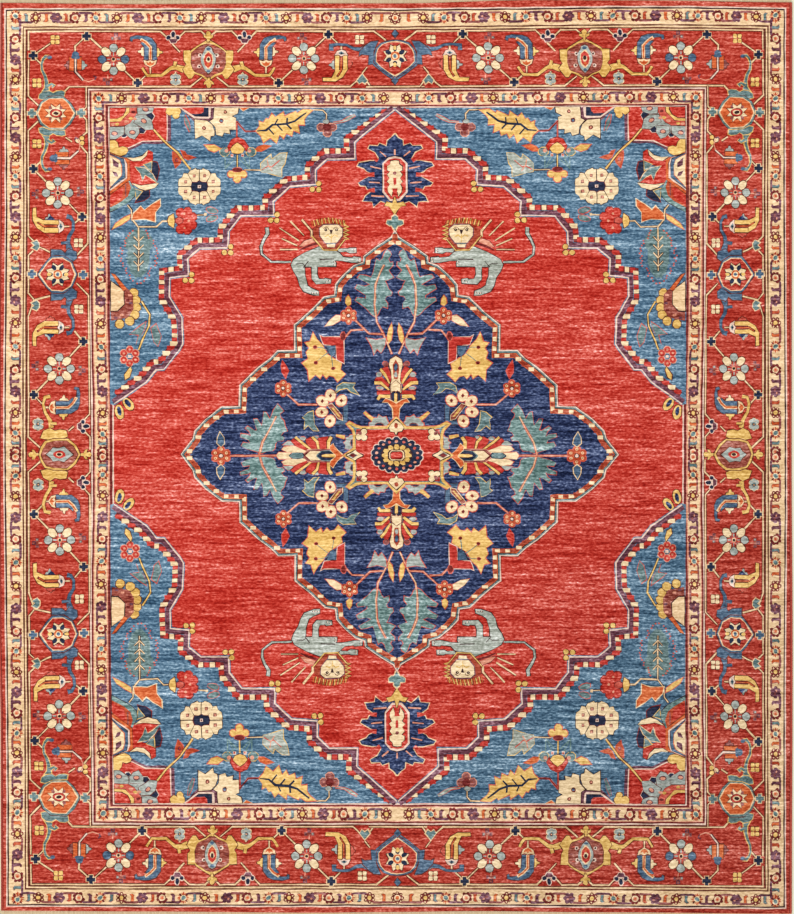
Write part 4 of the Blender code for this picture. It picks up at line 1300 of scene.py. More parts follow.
def side_palmette():
    """The palmette between the medallion's middle and its left arm, with the arm's end flower."""
    y = 455.8
    half = edge_round([Patch([(282.6, 445), (287.5, 441), (292.4, 441.4), (293.4, 446)], "pale"),
                       oval(302.8, 438.6, 3.2, 2, "pale", 8), oval(316, 437.4, 2.8, 1.6, "pale", 8)],
                      "coral", 0.4)
    half += fan_petal([(290.6, 441), (293.3, 438.4), (300.6, 443.4), (308.6, 450), (301.5, 449.4),
                       (295.2, 445.4)], "check_red")
    half += fan_petal([(305.6, 439.6), (311.1, 436.6), (316.6, 443), (317, 449), (311, 448.6),
                       (306, 442.6)], "check_red")
    half += fan_petal([(318.1, 438), (328, 436.4), (327, 449), (319.4, 449), (318.6, 442.4)], "check_red")
    half += line([(295.3, 437), (300.3, 441.6), (311, 449.6)], "yellow", [2.4, 2.2, 1.6], "brown", 0.5)
    half += line([(312.2, 437), (316.8, 441.8), (318.6, 449.6)], "yellow", [2.6, 2.4, 2], "brown", 0.5)
    half += line([(331.2, 437), (328.3, 441.8), (328.4, 449.6)], "yellow", [3, 3.4, 3], "brown", 0.5)
    half += fan_petal([(281.6, 449.6), (284, 446.6), (293.9, 445.6), (300.3, 448.6), (307, 451),
                       (303, 453), (290, 453.4)], "ivory", "coral")
    half += line([(303, 455.6), (308.4, 450.2), (330, 449.6)], "plum", 1.3, "pink", 0.4)
    made = line([(230, y), (278, y)], "pink", 1.2, "rust", 0.6) + half + mirrored(half, y=y)
    made += edged(whole([(276.4, y), (279, y - 3.6), (291, y - 3), (289.6, y)], y=y), "ivory", "coral", 0.5)
    made += edged(whole([(289.6, y), (292.6, y - 2.8), (302, y - 2.6), (303.4, y)], y=y), "teal", "ink", 0.5)
    made += edged(whole([(305, y), (310.4, y - 4.8), (321, y - 4.8), (316.4, y)], y=y), "ivory", "maroon",
                  0.7)
    made += edged(whole([(317, y), (321.4, y - 4.4), (329, y - 5), (334, y - 2.4)], y=y), "ink", "teal", 0.6)
    made += line([(321.4, y), (325, y), (337, y)], "yellow", [1.4, 3, 2.8], "brown", 0.5)
    fork = [(342.6, y), (337.4, y - 5), (334, y - 9.6), (332.8, y - 12), (329.6, y - 9.4), (330.4, y - 5.6),
            (335.4, y - 1)]
    made += edged(whole(fork, y=y), "orange", "cream", 0.6)
    made += little_flower(221, y, "rust", 1.15)
    for side in (-1, 1):
        drop = [(220.8, y + side * 9.2), (217, y + side * 12.4), (217.4, y + side * 18),
                (220, y + side * 23.4), (223.6, y + side * 18), (224.4, y + side * 12.4)]
        made += edged(drop, "blue", "cream", 0.8)
    return made


def gold_frame():
    """The square frame in the medallion's middle, with its rosette."""
    x, y = 395.6, 455.4
    left, right, top, bottom = x - 41.8, x + 43.8, y - 28.0, y + 28.6
    made = []
    for side in (-1, 1):
        for end in (-1, 1):
            arch = [(-9.4, 1.4), (-9, -3), (-6.6, -4.4), (-5.6, -8.4), (-1.4, -8), (0.4, -11), (4, -8.6),
                    (7.6, -9.4), (8.8, -5), (10.4, -2.6), (9, 1.4)]
            cluster = edged(arch, "pale", "coral", 0.7)
            cluster += edge_round([oval(0.6, -0.4, 3.9, 2.4, "ink", 8)], "plum", 0.7)
            made += placed(cluster, x + side * 17.4, y + end * 29.4, 0 if end < 0 else 180, 1, side > 0)
            made += line([(x + side * 23, y + end * 36), (x + side * 27, y + end * 39),
                          (x + side * 31.6, y + end * 43.4)], "gold", [3.6, 3.2, 2.4], "coral", 0.5)
            made += placed(cluster, x + side * 43.4, y + end * 13.2, 90 if side > 0 else -90, 0.8,
                           end * side > 0)
            made += line([(x + side * 51, y + end * 18), (x + side * 60, y + end * 20)], "gold", [3.6, 2],
                         "coral", 0.4)
    ring = []
    for cx, cy, sx, sy in ((left, top, -1, -1), (right, top, 1, -1), (right, bottom, 1, 1),
                           (left, bottom, -1, 1)):
        turn = [(cx, cy - sy * 7), (cx + sx * 1.4, cy - sy * 2.4), (cx + sx * 6.8, cy + sy * 3.4),
                (cx + sx * 4.6, cy + sy * 5), (cx - sx * 2, cy + sy * 1.2), (cx - sx * 7, cy)]
        ring += [turn[k] for k in (range(6) if sx == sy else range(5, -1, -1))]
        if sy < 0 and sx < 0:
            ring += [(x - 9, top), (x, top - 10), (x + 9, top)]
        elif sy < 0:
            ring += [(right, y - 7), (right + 9.6, y), (right, y + 7)]
        elif sx > 0:
            ring += [(x + 9, bottom), (x, bottom + 10), (x - 9, bottom)]
        else:
            ring += [(left, y + 7), (left - 9.4, y), (left, y - 7)]
    made += [Patch(grown(ring, 1.6), "coral"), Patch(grown(ring, 1.0), "gold"),
             Patch(grown(ring, -1.4), "teal")]
    made += [box(left + 2, top + 2, right - 2, bottom - 2, "red")]
    for side in (-1, 1):
        tip = [(x, y + side * 20.6), (x - 1.6, y + side * 23.6), (x - 5.4, y + side * 24),
               (x - 7.4, y + side * 27.4), (x - 5, y + side * 31), (x, y + side * 35.4)]
        made += edged(whole(tip, x=x), "ivory", "dark", 0.6) + [oval(x, y + side * 30, 2, 2.6, "brick", 8)]
        for end in (-1, 1):
            cx, cy = (left + 7 if side < 0 else right - 7), (top + 6.8 if end < 0 else bottom - 6.8)
            lobes = [circle(cx + side * 2.4, cy - end * 2.8, 3, "ivory", 8),
                     circle(cx - side * 3, cy - end * 3.2, 3.1, "ivory", 8),
                     circle(cx - side * 2.8, cy + end * 2.6, 3, "ivory", 8),
                     circle(cx, cy, 3.6, "ivory", 8)]
            made += edge_round(lobes, "dark", 0.6) + lobes
            made += [oval(cx + side * 1.6, cy + end * 1.4, 2.9, 1.9, "plum", 8, 45 * side * end)]
        cx = left if side < 0 else right
        tip = [(cx + side * 8, y), (cx + side * 2, y - 3.4), (cx - side * 1, y - 5.4),
               (cx - side * 3.4, y - 3), (cx - side * 8.6, y)]
        made += edged(whole(tip, y=y), "ivory", "dark", 0.6)
        made += edged([(cx + side * 5, y), (cx + side * 1.4, y - 2.4), (cx - side * 2.4, y),
                       (cx + side * 1.4, y + 2.4)], "maroon", "teal", 0.5)
    return made + placed(central_rosette(), x + 0.3, y)


def central_rosette():
    """Navy scallops with pink dots round a gold ring and a red core."""
    made, count = [], 18
    for wool, radius, across, down in (("white", 4.3, 22.2, 15.2), ("ink", 3.4, 22.2, 15.2)):
        for i in range(count):
            a = 2 * math.pi * (i + 0.5) / count
            made.append(circle(across * math.cos(a), down * math.sin(a), radius, wool, 8))
        made.append(oval(0, 0, across + 0.8, down + 0.8, wool, 20))
    for i in range(count):
        a = 2 * math.pi * (i + 0.5) / count
        made.append(oval(20.2 * math.cos(a), 14 * math.sin(a), 1.6, 1.4, "pink" if i % 2 else "coral", 6))
    made += [oval(0, 0, 15.6, 11.4, "dark", 16)]
    for i in range(12):
        a = 2 * math.pi * i / 12
        made.append(oval(11.4 * math.cos(a), 8.3 * math.sin(a), 3.5, 2.7, "gold", 6, math.degrees(a)))
    for half_width, half_height, wool in ((8.4, 6, "dark"), (7.4, 5.1, "cream"), (6.2, 4.1, "dark"),
                                          (5.6, 3.4, "red")):
        cut = half_height * 0.45
        made.append(Patch([(-half_width, -half_height + cut), (-half_width + cut, -half_height),
                           (half_width - cut, -half_height), (half_width, -half_height + cut),
                           (half_width, half_height - cut), (half_width - cut, half_height),
                           (-half_width + cut, half_height), (-half_width, half_height - cut)], wool))
    return made


def four_ways(patches):
    left = patches + mirrored(patches, y=MID_Y)
    return left + mirrored(left, x=MID_X)


def up_and_down(patches):
    return patches + mirrored(patches, y=MID_Y)


def left_and_right(patches):
    return patches + mirrored(patches, x=MID_X)


def design():
    """Every patch of the chart, in the order that it is laid on."""
    made = grounds()
    made += four_ways(guards_quarter())
    made += four_ways(top_border() + corner_border() + left_border())
    made += up_and_down(top_middle_border()) + left_and_right(left_middle_border())
    made += four_ways(half_flower())
    made += four_ways(spandrel() + spandrel_flowers())
    made += four_ways(lion()) + up_and_down(pendant())
    made += medallion_ground() + four_ways(medallion_checks())
    made += four_ways(north_leaf() + north_flowers() + west_leaf() + west_flowers())
    made += up_and_down(fan_palmette()) + left_and_right(side_palmette()) + gold_frame()
    return made


# The weaver's drift: how far the finished rug lies off the mirrored chart, in steps
DRIFT_X = [0, 28, 110, 180, 290, 395, 500, 611, 682, 762, 790]
DRIFT_Y = [0, 108, 250, 454.5, 680, 801, 820, 880, 909]
DRIFT_RIGHT = [
    [0, 0, 0, 0, 0, 0, 1, 2, 4, 1.5, 0.3],
    [0, 0, 0, 0, 0, 0, 3, 5, 5, 1.5, 0.3],
    [0, 0, 0, 0, 0, 0, 4, 8, 6, 1.5, 0.3],
    [0, 0, 0, 0, 0, 0.6, 5, 9.6, 6, 1.5, 0.3],
    [1.0, 1.0, 1, 1, 1, 2, 5, 8, 5, 1.5, 0.3],
    [1.7, 2.0, 5, 4, 3, 2.5, 4, 5, 5, 1.5, 0.3],
    [1.7, 2.0, 5, 4, 3, 2.5, 4, 5, 5, 1.5, 0.3],
    [1.7, 2.4, 5, 4, 3, 2.5, 3, 4, 4, 1.5, 0.3],
    [1.7, 2.4, 4, 3, 2, 2, 2, 2, 2, 1.2, 0.3],
]
DRIFT_DOWN = [
    [0, 0, 0, 0, 0, 0, -1, -2.5, -2.5, -1, -0.5],
    [0, 0, 0, 0, 0, 0, -0.5, -1, -1, -1, 0],
    [0, 0, 0, 0, 0, 0, 0, 0, 0, 0, 0],
    [0, 0, 0, 0, 0, 0, 0, 0, 0, 0, 0],
    [0, 0, -2, -4, -6, -7.5, -6, -4, -2, 0, 0],
    [1, 1, 2, 2, 2, 2.2, 2.2, 2.5, 3, 3, 3],
    [4, 4, 4.3, 4.3, 4.3, 4.5, 4.5, 4.6, 4.8, 5, 5],
    [6.8, 6.8, 7, 7, 7, 7, 7, 7.6, 8.4, 9, 9],
    [5.6, 5.6, 6, 6, 6, 6, 6, 7, 7.5, 8, 8],
]


def table_at(table, x, y):
    """Bilinear reading of a drift table at many places."""
    table = np.array(table)
    column = np.clip(np.searchsorted(DRIFT_X, x) - 1, 0, len(DRIFT_X) - 2)
    row = np.clip(np.searchsorted(DRIFT_Y, y) - 1, 0, len(DRIFT_Y) - 2)
    xs, ys = np.array(DRIFT_X), np.array(DRIFT_Y)
    u = np.clip((x - xs[column]) / (xs[column + 1] - xs[column]), 0, 1)
    v = np.clip((y - ys[row]) / (ys[row + 1] - ys[row]), 0, 1)
    upper = table[row, column] * (1 - u) + table[row, column + 1] * u
    lower = table[row + 1, column] * (1 - u) + table[row + 1, column + 1] * u
    return upper * (1 - v) + lower * v


def drifted(points):
    """Chart steps to metres on the rug, with the drift and the wool's own waver."""
    x, y = points[:, 0], points[:, 1]
    right, down = table_at(DRIFT_RIGHT, x, y), table_at(DRIFT_DOWN, x, y)
    right = right + WOOL_WAVER * np.sin(x * 7.13 + y * 3.71)
    down = down + WOOL_WAVER * np.sin(x * 4.37 - y * 8.29)
    return np.stack([(x + right - ORIGIN_X) * STEP, (ORIGIN_Y - y - down) * STEP], axis=1)


def divided(points):
    """The outline with long edges cut, so that it can waver."""
    made = []
    for a, b in zip(points, points[1:] + points[:1]):
        pieces = max(1, math.ceil(math.hypot(b[0] - a[0], b[1] - a[1]) / LONGEST_EDGE))
        made += [(a[0] + (b[0] - a[0]) * i / pieces, a[1] + (b[1] - a[1]) * i / pieces)
                 for i in range(pieces)]
    return made


# The knotted body's outline

def wander(edge, share):
    share = min(max(share, 0.0), 1.0)
    for (s0, out0), (s1, out1) in zip(edge, edge[1:]):
        if share <= s1:
            t = (share - s0) / (s1 - s0)
            return out0 + t * t * (3 - 2 * t) * (out1 - out0)
    return edge[-1][1]


def side_x(side, share):
    return side * (BODY_HALF_WIDTH + wander(RIGHT_SIDE if side > 0 else LEFT_SIDE, share))


def end_y(end, x):
    share = (x + BODY_HALF_WIDTH) / (2 * BODY_HALF_WIDTH)
    return end * (HALF_LENGTH + wander(FAR_END if end > 0 else NEAR_END, share))


def side_points(side):
    near_y, far_y = end_y(-1, side_x(side, 0.0)), end_y(1, side_x(side, 1.0))
    shares = [i / OUTLINE_STEPS for i in range(OUTLINE_STEPS + 1)]
    return [(side_x(side, share), near_y + (far_y - near_y) * share) for share in shares]


def end_points(end):
    left, right = side_x(-1, 1.0 if end > 0 else 0.0), side_x(1, 1.0 if end > 0 else 0.0)
    return [(x, end_y(end, x))
            for x in (left + (right - left) * i / OUTLINE_STEPS for i in range(OUTLINE_STEPS + 1))]


def body_outline(inset):
    """The outline in metres, counter-clockwise from the near left corner."""
    ring = end_points(-1)[:-1] + side_points(1)[:-1] + end_points(1)[::-1][:-1] + side_points(-1)[::-1][:-1]
    return shifted(ring, -inset, closed=True)


# Pile mesh

# Each ring round the rim, from the top down: how far it is set in, and its height
RIM = [(0.0022, BODY_THICKNESS), (0.0008, BODY_THICKNESS - 0.0007), (0.0, BODY_THICKNESS - 0.0026),
       (0.0004, 0.0012), (0.0016, 0.0001)]
# A patch shows on the back from this width and height taken together, in steps
SHOWS_THROUGH = 26.0
# Spacing of the points that cut up plain ground, and how far off a seam may be straightened
TOP_SPACING, TOP_TOLERANCE = 0.07, 0.0004
BACK_SPACING, BACK_TOLERANCE = 0.15, 0.002
SPACED_HALF_WIDTH, SPACED_HALF_LENGTH = 1.2, 1.4
UNDULATION = 0.0004
# Painted shade: the colours are darkened towards the right, the near end and the corner between them
PAINTED_SHADE_SIDE, PAINTED_SHADE_CORNER, PAINTED_SHADE_CORNER_LIMIT = 0.09, 0.5, 0.2
PAINTED_SHADE_HALF_WIDTH, PAINTED_SHADE_HALF_LENGTH = 1.25, 1.43
# The back's colours, as a share of the pile's and a pale veil over them
BACK_SHARE, BACK_VEIL = 0.62, 0.05


def linear(value):
    value = value / 255
    return value / 12.92 if value <= 0.04045 else ((value + 0.055) / 1.055) ** 2.4


def inside(points, ring):
    """Non-zero winding test of many points against one outline."""
    x, y = points[:, 0], points[:, 1]
    turns = np.zeros(len(points), np.int32)
    ends = np.roll(ring, -1, axis=0)
    for (ax, ay), (bx, by) in zip(ring, ends):
        cross_side = (bx - ax) * (y - ay) - (x - ax) * (by - ay)
        turns += ((ay <= y) & (by > y) & (cross_side > 0)).astype(np.int32)
        turns -= ((ay > y) & (by <= y) & (cross_side < 0)).astype(np.int32)
    return turns != 0


def wool_of(centres, rings, wools):
    """The topmost patch's wool at each place, the last patch laid first."""
    order = np.argsort(centres[:, 1])
    ranked = centres[order]
    found = np.full(len(centres), "outer_red", dtype=object)
    free = np.ones(len(centres), bool)
    for ring, wool in zip(rings[::-1], wools[::-1]):
        low, high = ring.min(axis=0), ring.max(axis=0)
        first, last = np.searchsorted(ranked[:, 1], (low[1], high[1]))
        near = first + np.flatnonzero(free[first:last])
        near = near[(ranked[near, 0] > low[0]) & (ranked[near, 0] < high[0])]
        if len(near):
            near = near[inside(ranked[near], ring)]
            found[order[near]] = wool
            free[near] = False
    return found


def grid_points(spacing, half_width, half_length):
    columns, rows = int(2 * half_width / spacing), int(2 * half_length / spacing)
    return [((i + 0.5) / columns * 2 * half_width - half_width,
             (j + 0.5) / rows * 2 * half_length - half_length)
            for i in range(columns) for j in range(rows)]


def triangulated(verts, edges, rim):
    """A triangulation that keeps every edge, cut off at the rim."""
    flat, _, faces = delaunay_2d_cdt([Vector(p) for p in verts], edges, [], 0, 1e-6)[:3]
    flat = np.array([tuple(v) for v in flat])
    faces = np.array([f for f in faces if len(f) == 3])
    kept = inside(flat[faces].mean(axis=1), np.array(rim))
    return flat, faces[kept]


def seams(faces, names):
    """The edges that have a different wool on each side."""
    numbers = {name: i for i, name in enumerate(sorted(set(names)))}
    wool = np.tile([numbers[name] for name in names], 3)
    sides = np.vstack([faces[:, [0, 1]], faces[:, [1, 2]], faces[:, [2, 0]]])
    sides.sort(axis=1)
    order = np.lexsort((sides[:, 1], sides[:, 0]))
    sides, wool = sides[order], wool[order]
    shared = (sides[1:] == sides[:-1]).all(axis=1)
    return sides[:-1][shared & (wool[1:] != wool[:-1])]


def straightened(flat, sides, tolerance):
    """The seams without the points that lie almost straight between their two neighbours."""
    near = {}
    for a, b in sides.tolist():
        near.setdefault(a, []).append(b)
        near.setdefault(b, []).append(a)
    places = flat.tolist()
    for point in list(near):
        ends = near[point]
        if len(ends) != 2 or ends[0] == ends[1] or ends[1] in near[ends[0]]:
            continue
        (px, py), (ax, ay), (bx, by) = places[point], places[ends[0]], places[ends[1]]
        length = math.hypot(bx - ax, by - ay)
        off = abs((bx - ax) * (py - ay) - (px - ax) * (by - ay)) / max(length, 1e-9)
        if off < tolerance and (px - ax) * (px - bx) + (py - ay) * (py - by) < 0:
            near[ends[0]][near[ends[0]].index(point)] = ends[1]
            near[ends[1]][near[ends[1]].index(point)] = ends[0]
            del near[point]
    order = {point: i for i, point in enumerate(near)}
    edges = [(order[a], order[b]) for a, ends in near.items() for b in ends if a < b]
    return [tuple(places[point]) for point in near], edges


def pile_mesh(patches, rim_inset, spacing, tolerance):
    """The design as triangles that meet edge to edge, and each triangle's wool."""
    rings = [drifted(np.array(divided(patch.points))) for patch in patches]
    wools = [patch.wool for patch in patches]
    rim = body_outline(rim_inset)
    rim_edges = [(i, (i + 1) % len(rim)) for i in range(len(rim))]
    verts, edges = list(rim), list(rim_edges)
    for ring in rings:
        start, count = len(verts), len(ring)
        verts += ring.tolist()
        edges += [(start + i, start + (i + 1) % count) for i in range(count)]
    flat, faces = triangulated(verts, edges, rim)
    names = wool_of(flat[faces].mean(axis=1), rings, wools)
    verts, edges = straightened(flat, seams(faces, names), tolerance)
    start = len(verts)
    edges += [(start + a, start + b) for a, b in rim_edges]
    spaced = grid_points(spacing, SPACED_HALF_WIDTH, SPACED_HALF_LENGTH)
    flat, faces = triangulated(verts + rim + spaced, edges, rim)
    names = wool_of(flat[faces].mean(axis=1), rings, wools)
    used = np.unique(faces)
    index = np.full(len(flat), -1)
    index[used] = np.arange(len(used))
    flat, faces = flat[used], index[faces]
    return flat, orient(faces, flat), list(names)


def colour_table(names, places):
    """Linear colours, with painted shade that darkens them towards the near right corner, as in the photo."""
    table = {name: (linear(r), linear(g), linear(b), uneven) for name, (r, g, b, uneven) in WOOLS.items()}
    colours = np.array([table[name] for name in names])
    # Painted shade: each colour is darker towards the right and the near end, and most of all in the near
    # right corner
    right, near = places[:, 0] / PAINTED_SHADE_HALF_WIDTH, -places[:, 1] / PAINTED_SHADE_HALF_LENGTH
    corner = np.clip(np.maximum(right, 0) * np.maximum(near, 0), 0, PAINTED_SHADE_CORNER_LIMIT)
    deeper = PAINTED_SHADE_SIDE * right + PAINTED_SHADE_SIDE * near + PAINTED_SHADE_CORNER * corner
    colours[:, :3] *= (1 - deeper * (0.4 + 0.6 * colours[:, 3]))[:, None]
    return colours


def undulation(x, y):
    return UNDULATION * (np.sin(x * 9 + 1.7 * np.sin(y * 3)) + np.sin(y * 7 + 2.1 * np.sin(x * 2.3)))


def big_patches(patches):
    """Those that still read through the back of the rug."""
    kept = []
    for patch in patches:
        xs, ys = [p[0] for p in patch.points], [p[1] for p in patch.points]
        if max(xs) - min(xs) + max(ys) - min(ys) > SHOWS_THROUGH:
            kept.append(patch)
    return kept


def build_pile():
    """The pile in its chart, the rounded rim, and the back with the design showing through."""
    patches = design()
    flat, faces, names = pile_mesh(patches, RIM[0][0], TOP_SPACING, TOP_TOLERANCE)
    top = np.column_stack([flat, BODY_THICKNESS + undulation(flat[:, 0], flat[:, 1])])
    points, starts, total = [top], [], len(top)
    count = 4 * OUTLINE_STEPS
    for inset, height in RIM:
        ring = np.array(body_outline(inset))
        lift = undulation(ring[:, 0], ring[:, 1]) * (height / BODY_THICKNESS) ** 3
        points.append(np.column_stack([ring, height + lift]))
        starts.append(total)
        total += count
    quads = []
    for upper, lower in zip(starts, starts[1:]):
        for i in range(count):
            j = (i + 1) % count
            quads.append((upper + i, lower + i, lower + j, upper + j))
    back, back_faces, back_names = pile_mesh(big_patches(patches), RIM[-1][0], BACK_SPACING,
                                             BACK_TOLERANCE)
    points.append(np.column_stack([back, np.full(len(back), RIM[-1][1])]))
    upper_faces = [tuple(f) for f in faces.tolist()]
    under = [tuple(f) for f in (back_faces[:, ::-1] + total).tolist()]
    places = np.vstack(points)
    mesh = bpy.data.meshes.new("pile")
    mesh.from_pydata(places.tolist(), [], upper_faces + quads + under)
    names = names + ["outer_red"] * len(quads) + back_names
    sizes = [3] * len(upper_faces) + [4] * len(quads) + [3] * len(under)
    middles = np.vstack([places[faces].mean(axis=1), places[np.array(quads)].mean(axis=1),
                         places[np.array(under)].mean(axis=1)])
    colours = colour_table(names, middles)
    colours[-len(under):, :3] = colours[-len(under):, :3] * BACK_SHARE + BACK_VEIL
    layer = mesh.color_attributes.new("wool", "FLOAT_COLOR", "CORNER")
    layer.data.foreach_set("color", np.repeat(colours, sizes, axis=0).astype(np.float32).ravel())
    mesh.validate()
    return add_piece("pile", mesh)


def orient(faces, flat):
    a, b, c = flat[faces[:, 0]], flat[faces[:, 1]], flat[faces[:, 2]]
    area = (b[:, 0] - a[:, 0]) * (c[:, 1] - a[:, 1]) - (c[:, 0] - a[:, 0]) * (b[:, 1] - a[:, 1])
    faces = faces.copy()
    back = area < 0
    faces[back] = faces[back][:, ::-1]
    return faces


def add_piece(name, data):
    piece = bpy.data.objects.new(name, data)
    bpy.context.scene.collection.objects.link(piece)
    return piece


# Materials

def new_material(name, roughness, sheen=0.0):
    material = bpy.data.materials.new(name)
    material.use_nodes = True
    shader = material.node_tree.nodes["Principled BSDF"]
    shader.inputs["Roughness"].default_value = roughness
    shader.inputs["Specular IOR Level"].default_value = 0.1
    shader.inputs["Sheen Weight"].default_value = sheen
    shader.inputs["Sheen Roughness"].default_value = 0.6
    return material, material.node_tree.nodes, material.node_tree.links, shader


def streak_noise(nodes, links, scale, detail=2.0, name="streak"):
    """Noise drawn out across the rug; scale is in cycles a metre."""
    coordinates = nodes.new("ShaderNodeTexCoord")
    stretch = nodes.new("ShaderNodeMapping")
    stretch.inputs["Scale"].default_value = scale
    noise = nodes.new("ShaderNodeTexNoise")
    noise.label = name
    noise.inputs["Scale"].default_value = 1.0
    noise.inputs["Detail"].default_value = detail
    noise.inputs["Roughness"].default_value = 0.55
    links.new(coordinates.outputs["Object"], stretch.inputs["Vector"])
    links.new(stretch.outputs["Vector"], noise.inputs["Vector"])
    return noise.outputs["Fac"]


def scaled(nodes, links, value, low, high, out_low, out_high):
    remap = nodes.new("ShaderNodeMapRange")
    for socket, number in (("From Min", low), ("From Max", high), ("To Min", out_low), ("To Max", out_high)):
        remap.inputs[socket].default_value = number
    links.new(value, remap.inputs["Value"])
    return remap.outputs["Result"]


def joined(nodes, links, operation, a, b):
    node = nodes.new("ShaderNodeMath")
    node.operation = operation
    for socket, value in zip(node.inputs, (a, b)):
        if isinstance(value, (int, float)):
            socket.default_value = value
        else:
            links.new(value, socket)
    return node.outputs["Value"]


def mixed(nodes, links, factor, a, b, mode="MIX"):
    node = nodes.new("ShaderNodeMix")
    node.data_type = "RGBA"
    node.blend_type = mode
    links.new(factor, node.inputs["Factor"])
    for socket, value in ((node.inputs[6], a), (node.inputs[7], b)):
        if isinstance(value, tuple):
            socket.default_value = value
        else:
            links.new(value, socket)
    return node.outputs[2]


def bumped(nodes, links, shader, height, strength, distance):
    bump = nodes.new("ShaderNodeBump")
    bump.inputs["Strength"].default_value = strength
    bump.inputs["Distance"].default_value = distance
    links.new(height, bump.inputs["Height"])
    links.new(bump.outputs["Normal"], shader.inputs["Normal"])


# Each streak: name, cycles a metre, how much deeper the dye, how much darker
PILE_STREAKS = [
    ("abrash", (0.5, 13, 1), 0.18, 0.05),
    ("bands", (2.5, 45, 1), 0.16, 0.07),
    ("weft streaks", (12, 120, 1), 0.38, 0.20),
    ("knots", (90, 190, 1), 0.42, 0.22),
]


def pile_material():
    """Wool pile: the chart's colours, dyed deeper or paler in streaks and knots."""
    material, nodes, links, shader = new_material("pile_wool", 0.95, 0.02)
    wool = nodes.new("ShaderNodeVertexColor")
    wool.layer_name = "wool"
    depth = light = None
    for name, scale, strength, shade in PILE_STREAKS:
        noise = streak_noise(nodes, links, scale, 2.0, name)
        part = scaled(nodes, links, noise, 0.3, 0.7, -strength, strength)
        depth = part if depth is None else joined(nodes, links, "ADD", depth, part)
        part = scaled(nodes, links, noise, 0.3, 0.7, shade, -shade)
        light = part if light is None else joined(nodes, links, "ADD", light, part)
    depth = joined(nodes, links, "MULTIPLY", depth, wool.outputs["Alpha"])
    gamma = nodes.new("ShaderNodeGamma")
    links.new(wool.outputs["Color"], gamma.inputs["Color"])
    links.new(joined(nodes, links, "ADD", depth, 1.04), gamma.inputs["Gamma"])
    shaded = nodes.new("ShaderNodeVectorMath")
    shaded.operation = "SCALE"
    links.new(gamma.outputs["Color"], shaded.inputs[0])
    links.new(joined(nodes, links, "ADD", light, 0.97), shaded.inputs["Scale"])
    links.new(shaded.outputs["Vector"], shader.inputs["Base Color"])
    bumped(nodes, links, shader, noise, 0.3, 0.001)
    return material


def yarn_material(name, colour, shade, scale, roughness=0.9):
    material, nodes, links, shader = new_material(name, roughness, 0.05)
    noise = streak_noise(nodes, links, scale, 3.0, "yarn")
    factor = scaled(nodes, links, noise, 0.3, 0.7, 0.0, 1.0)
    links.new(mixed(nodes, links, factor, colour, shade), shader.inputs["Base Color"])
    bumped(nodes, links, shader, noise, 0.4, 0.0008)
    return material


# Sides, webs and fringe

def tube(path, radii, sides, twist=0.0):
    """Rings of points round a path that runs along y, and the quads between them."""
    points, quads = [], []
    for i, ((x, y, z), radius) in enumerate(zip(path, radii)):
        ahead, behind = path[min(i + 1, len(path) - 1)], path[max(i - 1, 0)]
        tangent = Vector(ahead) - Vector(behind)
        tangent.normalize()
        across = tangent.cross(Vector((0, 0, 1)))
        across.normalize()
        up = across.cross(tangent)
        for j in range(sides):
            a = 2 * math.pi * j / sides + twist * i
            points.append(Vector((x, y, z)) + radius * (across * math.cos(a) + up * math.sin(a)))
    for i in range(len(path) - 1):
        for j in range(sides):
            k = (j + 1) % sides
            quads.append((i * sides + j, i * sides + k, (i + 1) * sides + k, (i + 1) * sides + j))
    quads.append(tuple(range(sides))[::-1])
    quads.append(tuple((len(path) - 1) * sides + j for j in range(sides)))
    return points, quads


WRAP_PITCH = 0.0062
RINGS_PER_WRAP = 5
WRAP_SWELL = 0.14
CORD_SIDES = 10


def selvedge_mesh(name, side):
    """The side cord, ridged by the wool that is wound round it."""
    ring = side_points(side)
    xs, ys = [p[0] for p in ring], [p[1] for p in ring]
    radius = SELVEDGE_DIAMETER / 2
    count = int((ys[-1] - ys[0]) / WRAP_PITCH) * RINGS_PER_WRAP
    path, radii = [], []
    for i in range(count + 1):
        y = ys[0] + (ys[-1] - ys[0]) * i / count
        x = float(np.interp(y, ys, xs)) + side * (PIECE_GAP + radius)
        path.append((x, y, radius))
        swell = abs(math.sin(math.pi * i / RINGS_PER_WRAP))
        radii.append(radius * (1 - WRAP_SWELL + WRAP_SWELL * swell))
    points, quads = tube(path, radii, CORD_SIDES)
    mesh = bpy.data.meshes.new(name)
    mesh.from_pydata([tuple(p) for p in points], [], quads)
    mesh.polygons.foreach_set("use_smooth", [True] * len(mesh.polygons))
    return mesh


WEB_DEPTH = 0.014
WEB_THICKNESS = 0.003
WEB_END_INSET = 0.002
WEB_COLUMNS, WEB_ROWS = 500, 7
WEB_OVERLAP = 0.0014
WEFT_RIB = 0.0003
WEB_EDGE_HEIGHT = 0.0004
LOCKS_PER_END = 110
LOCK_LENGTH = 0.055
LOCK_LENGTH_SPREAD = 0.10
LOCK_SIDE_LEAN = 0.0045
FRINGE_SEED = 7
FRAY_SEED = 11
YARNS_PER_LOCK = 6
YARN_FRAY = 0.12
YARN_STEPS = 8
YARN_SIDES = 5
YARN_TWIST = 0.5
YARN_WAVE = 0.0007
YARN_START = 0.002
KNOT_REACH = 0.12
KNOT_HALF_REACH = 0.06


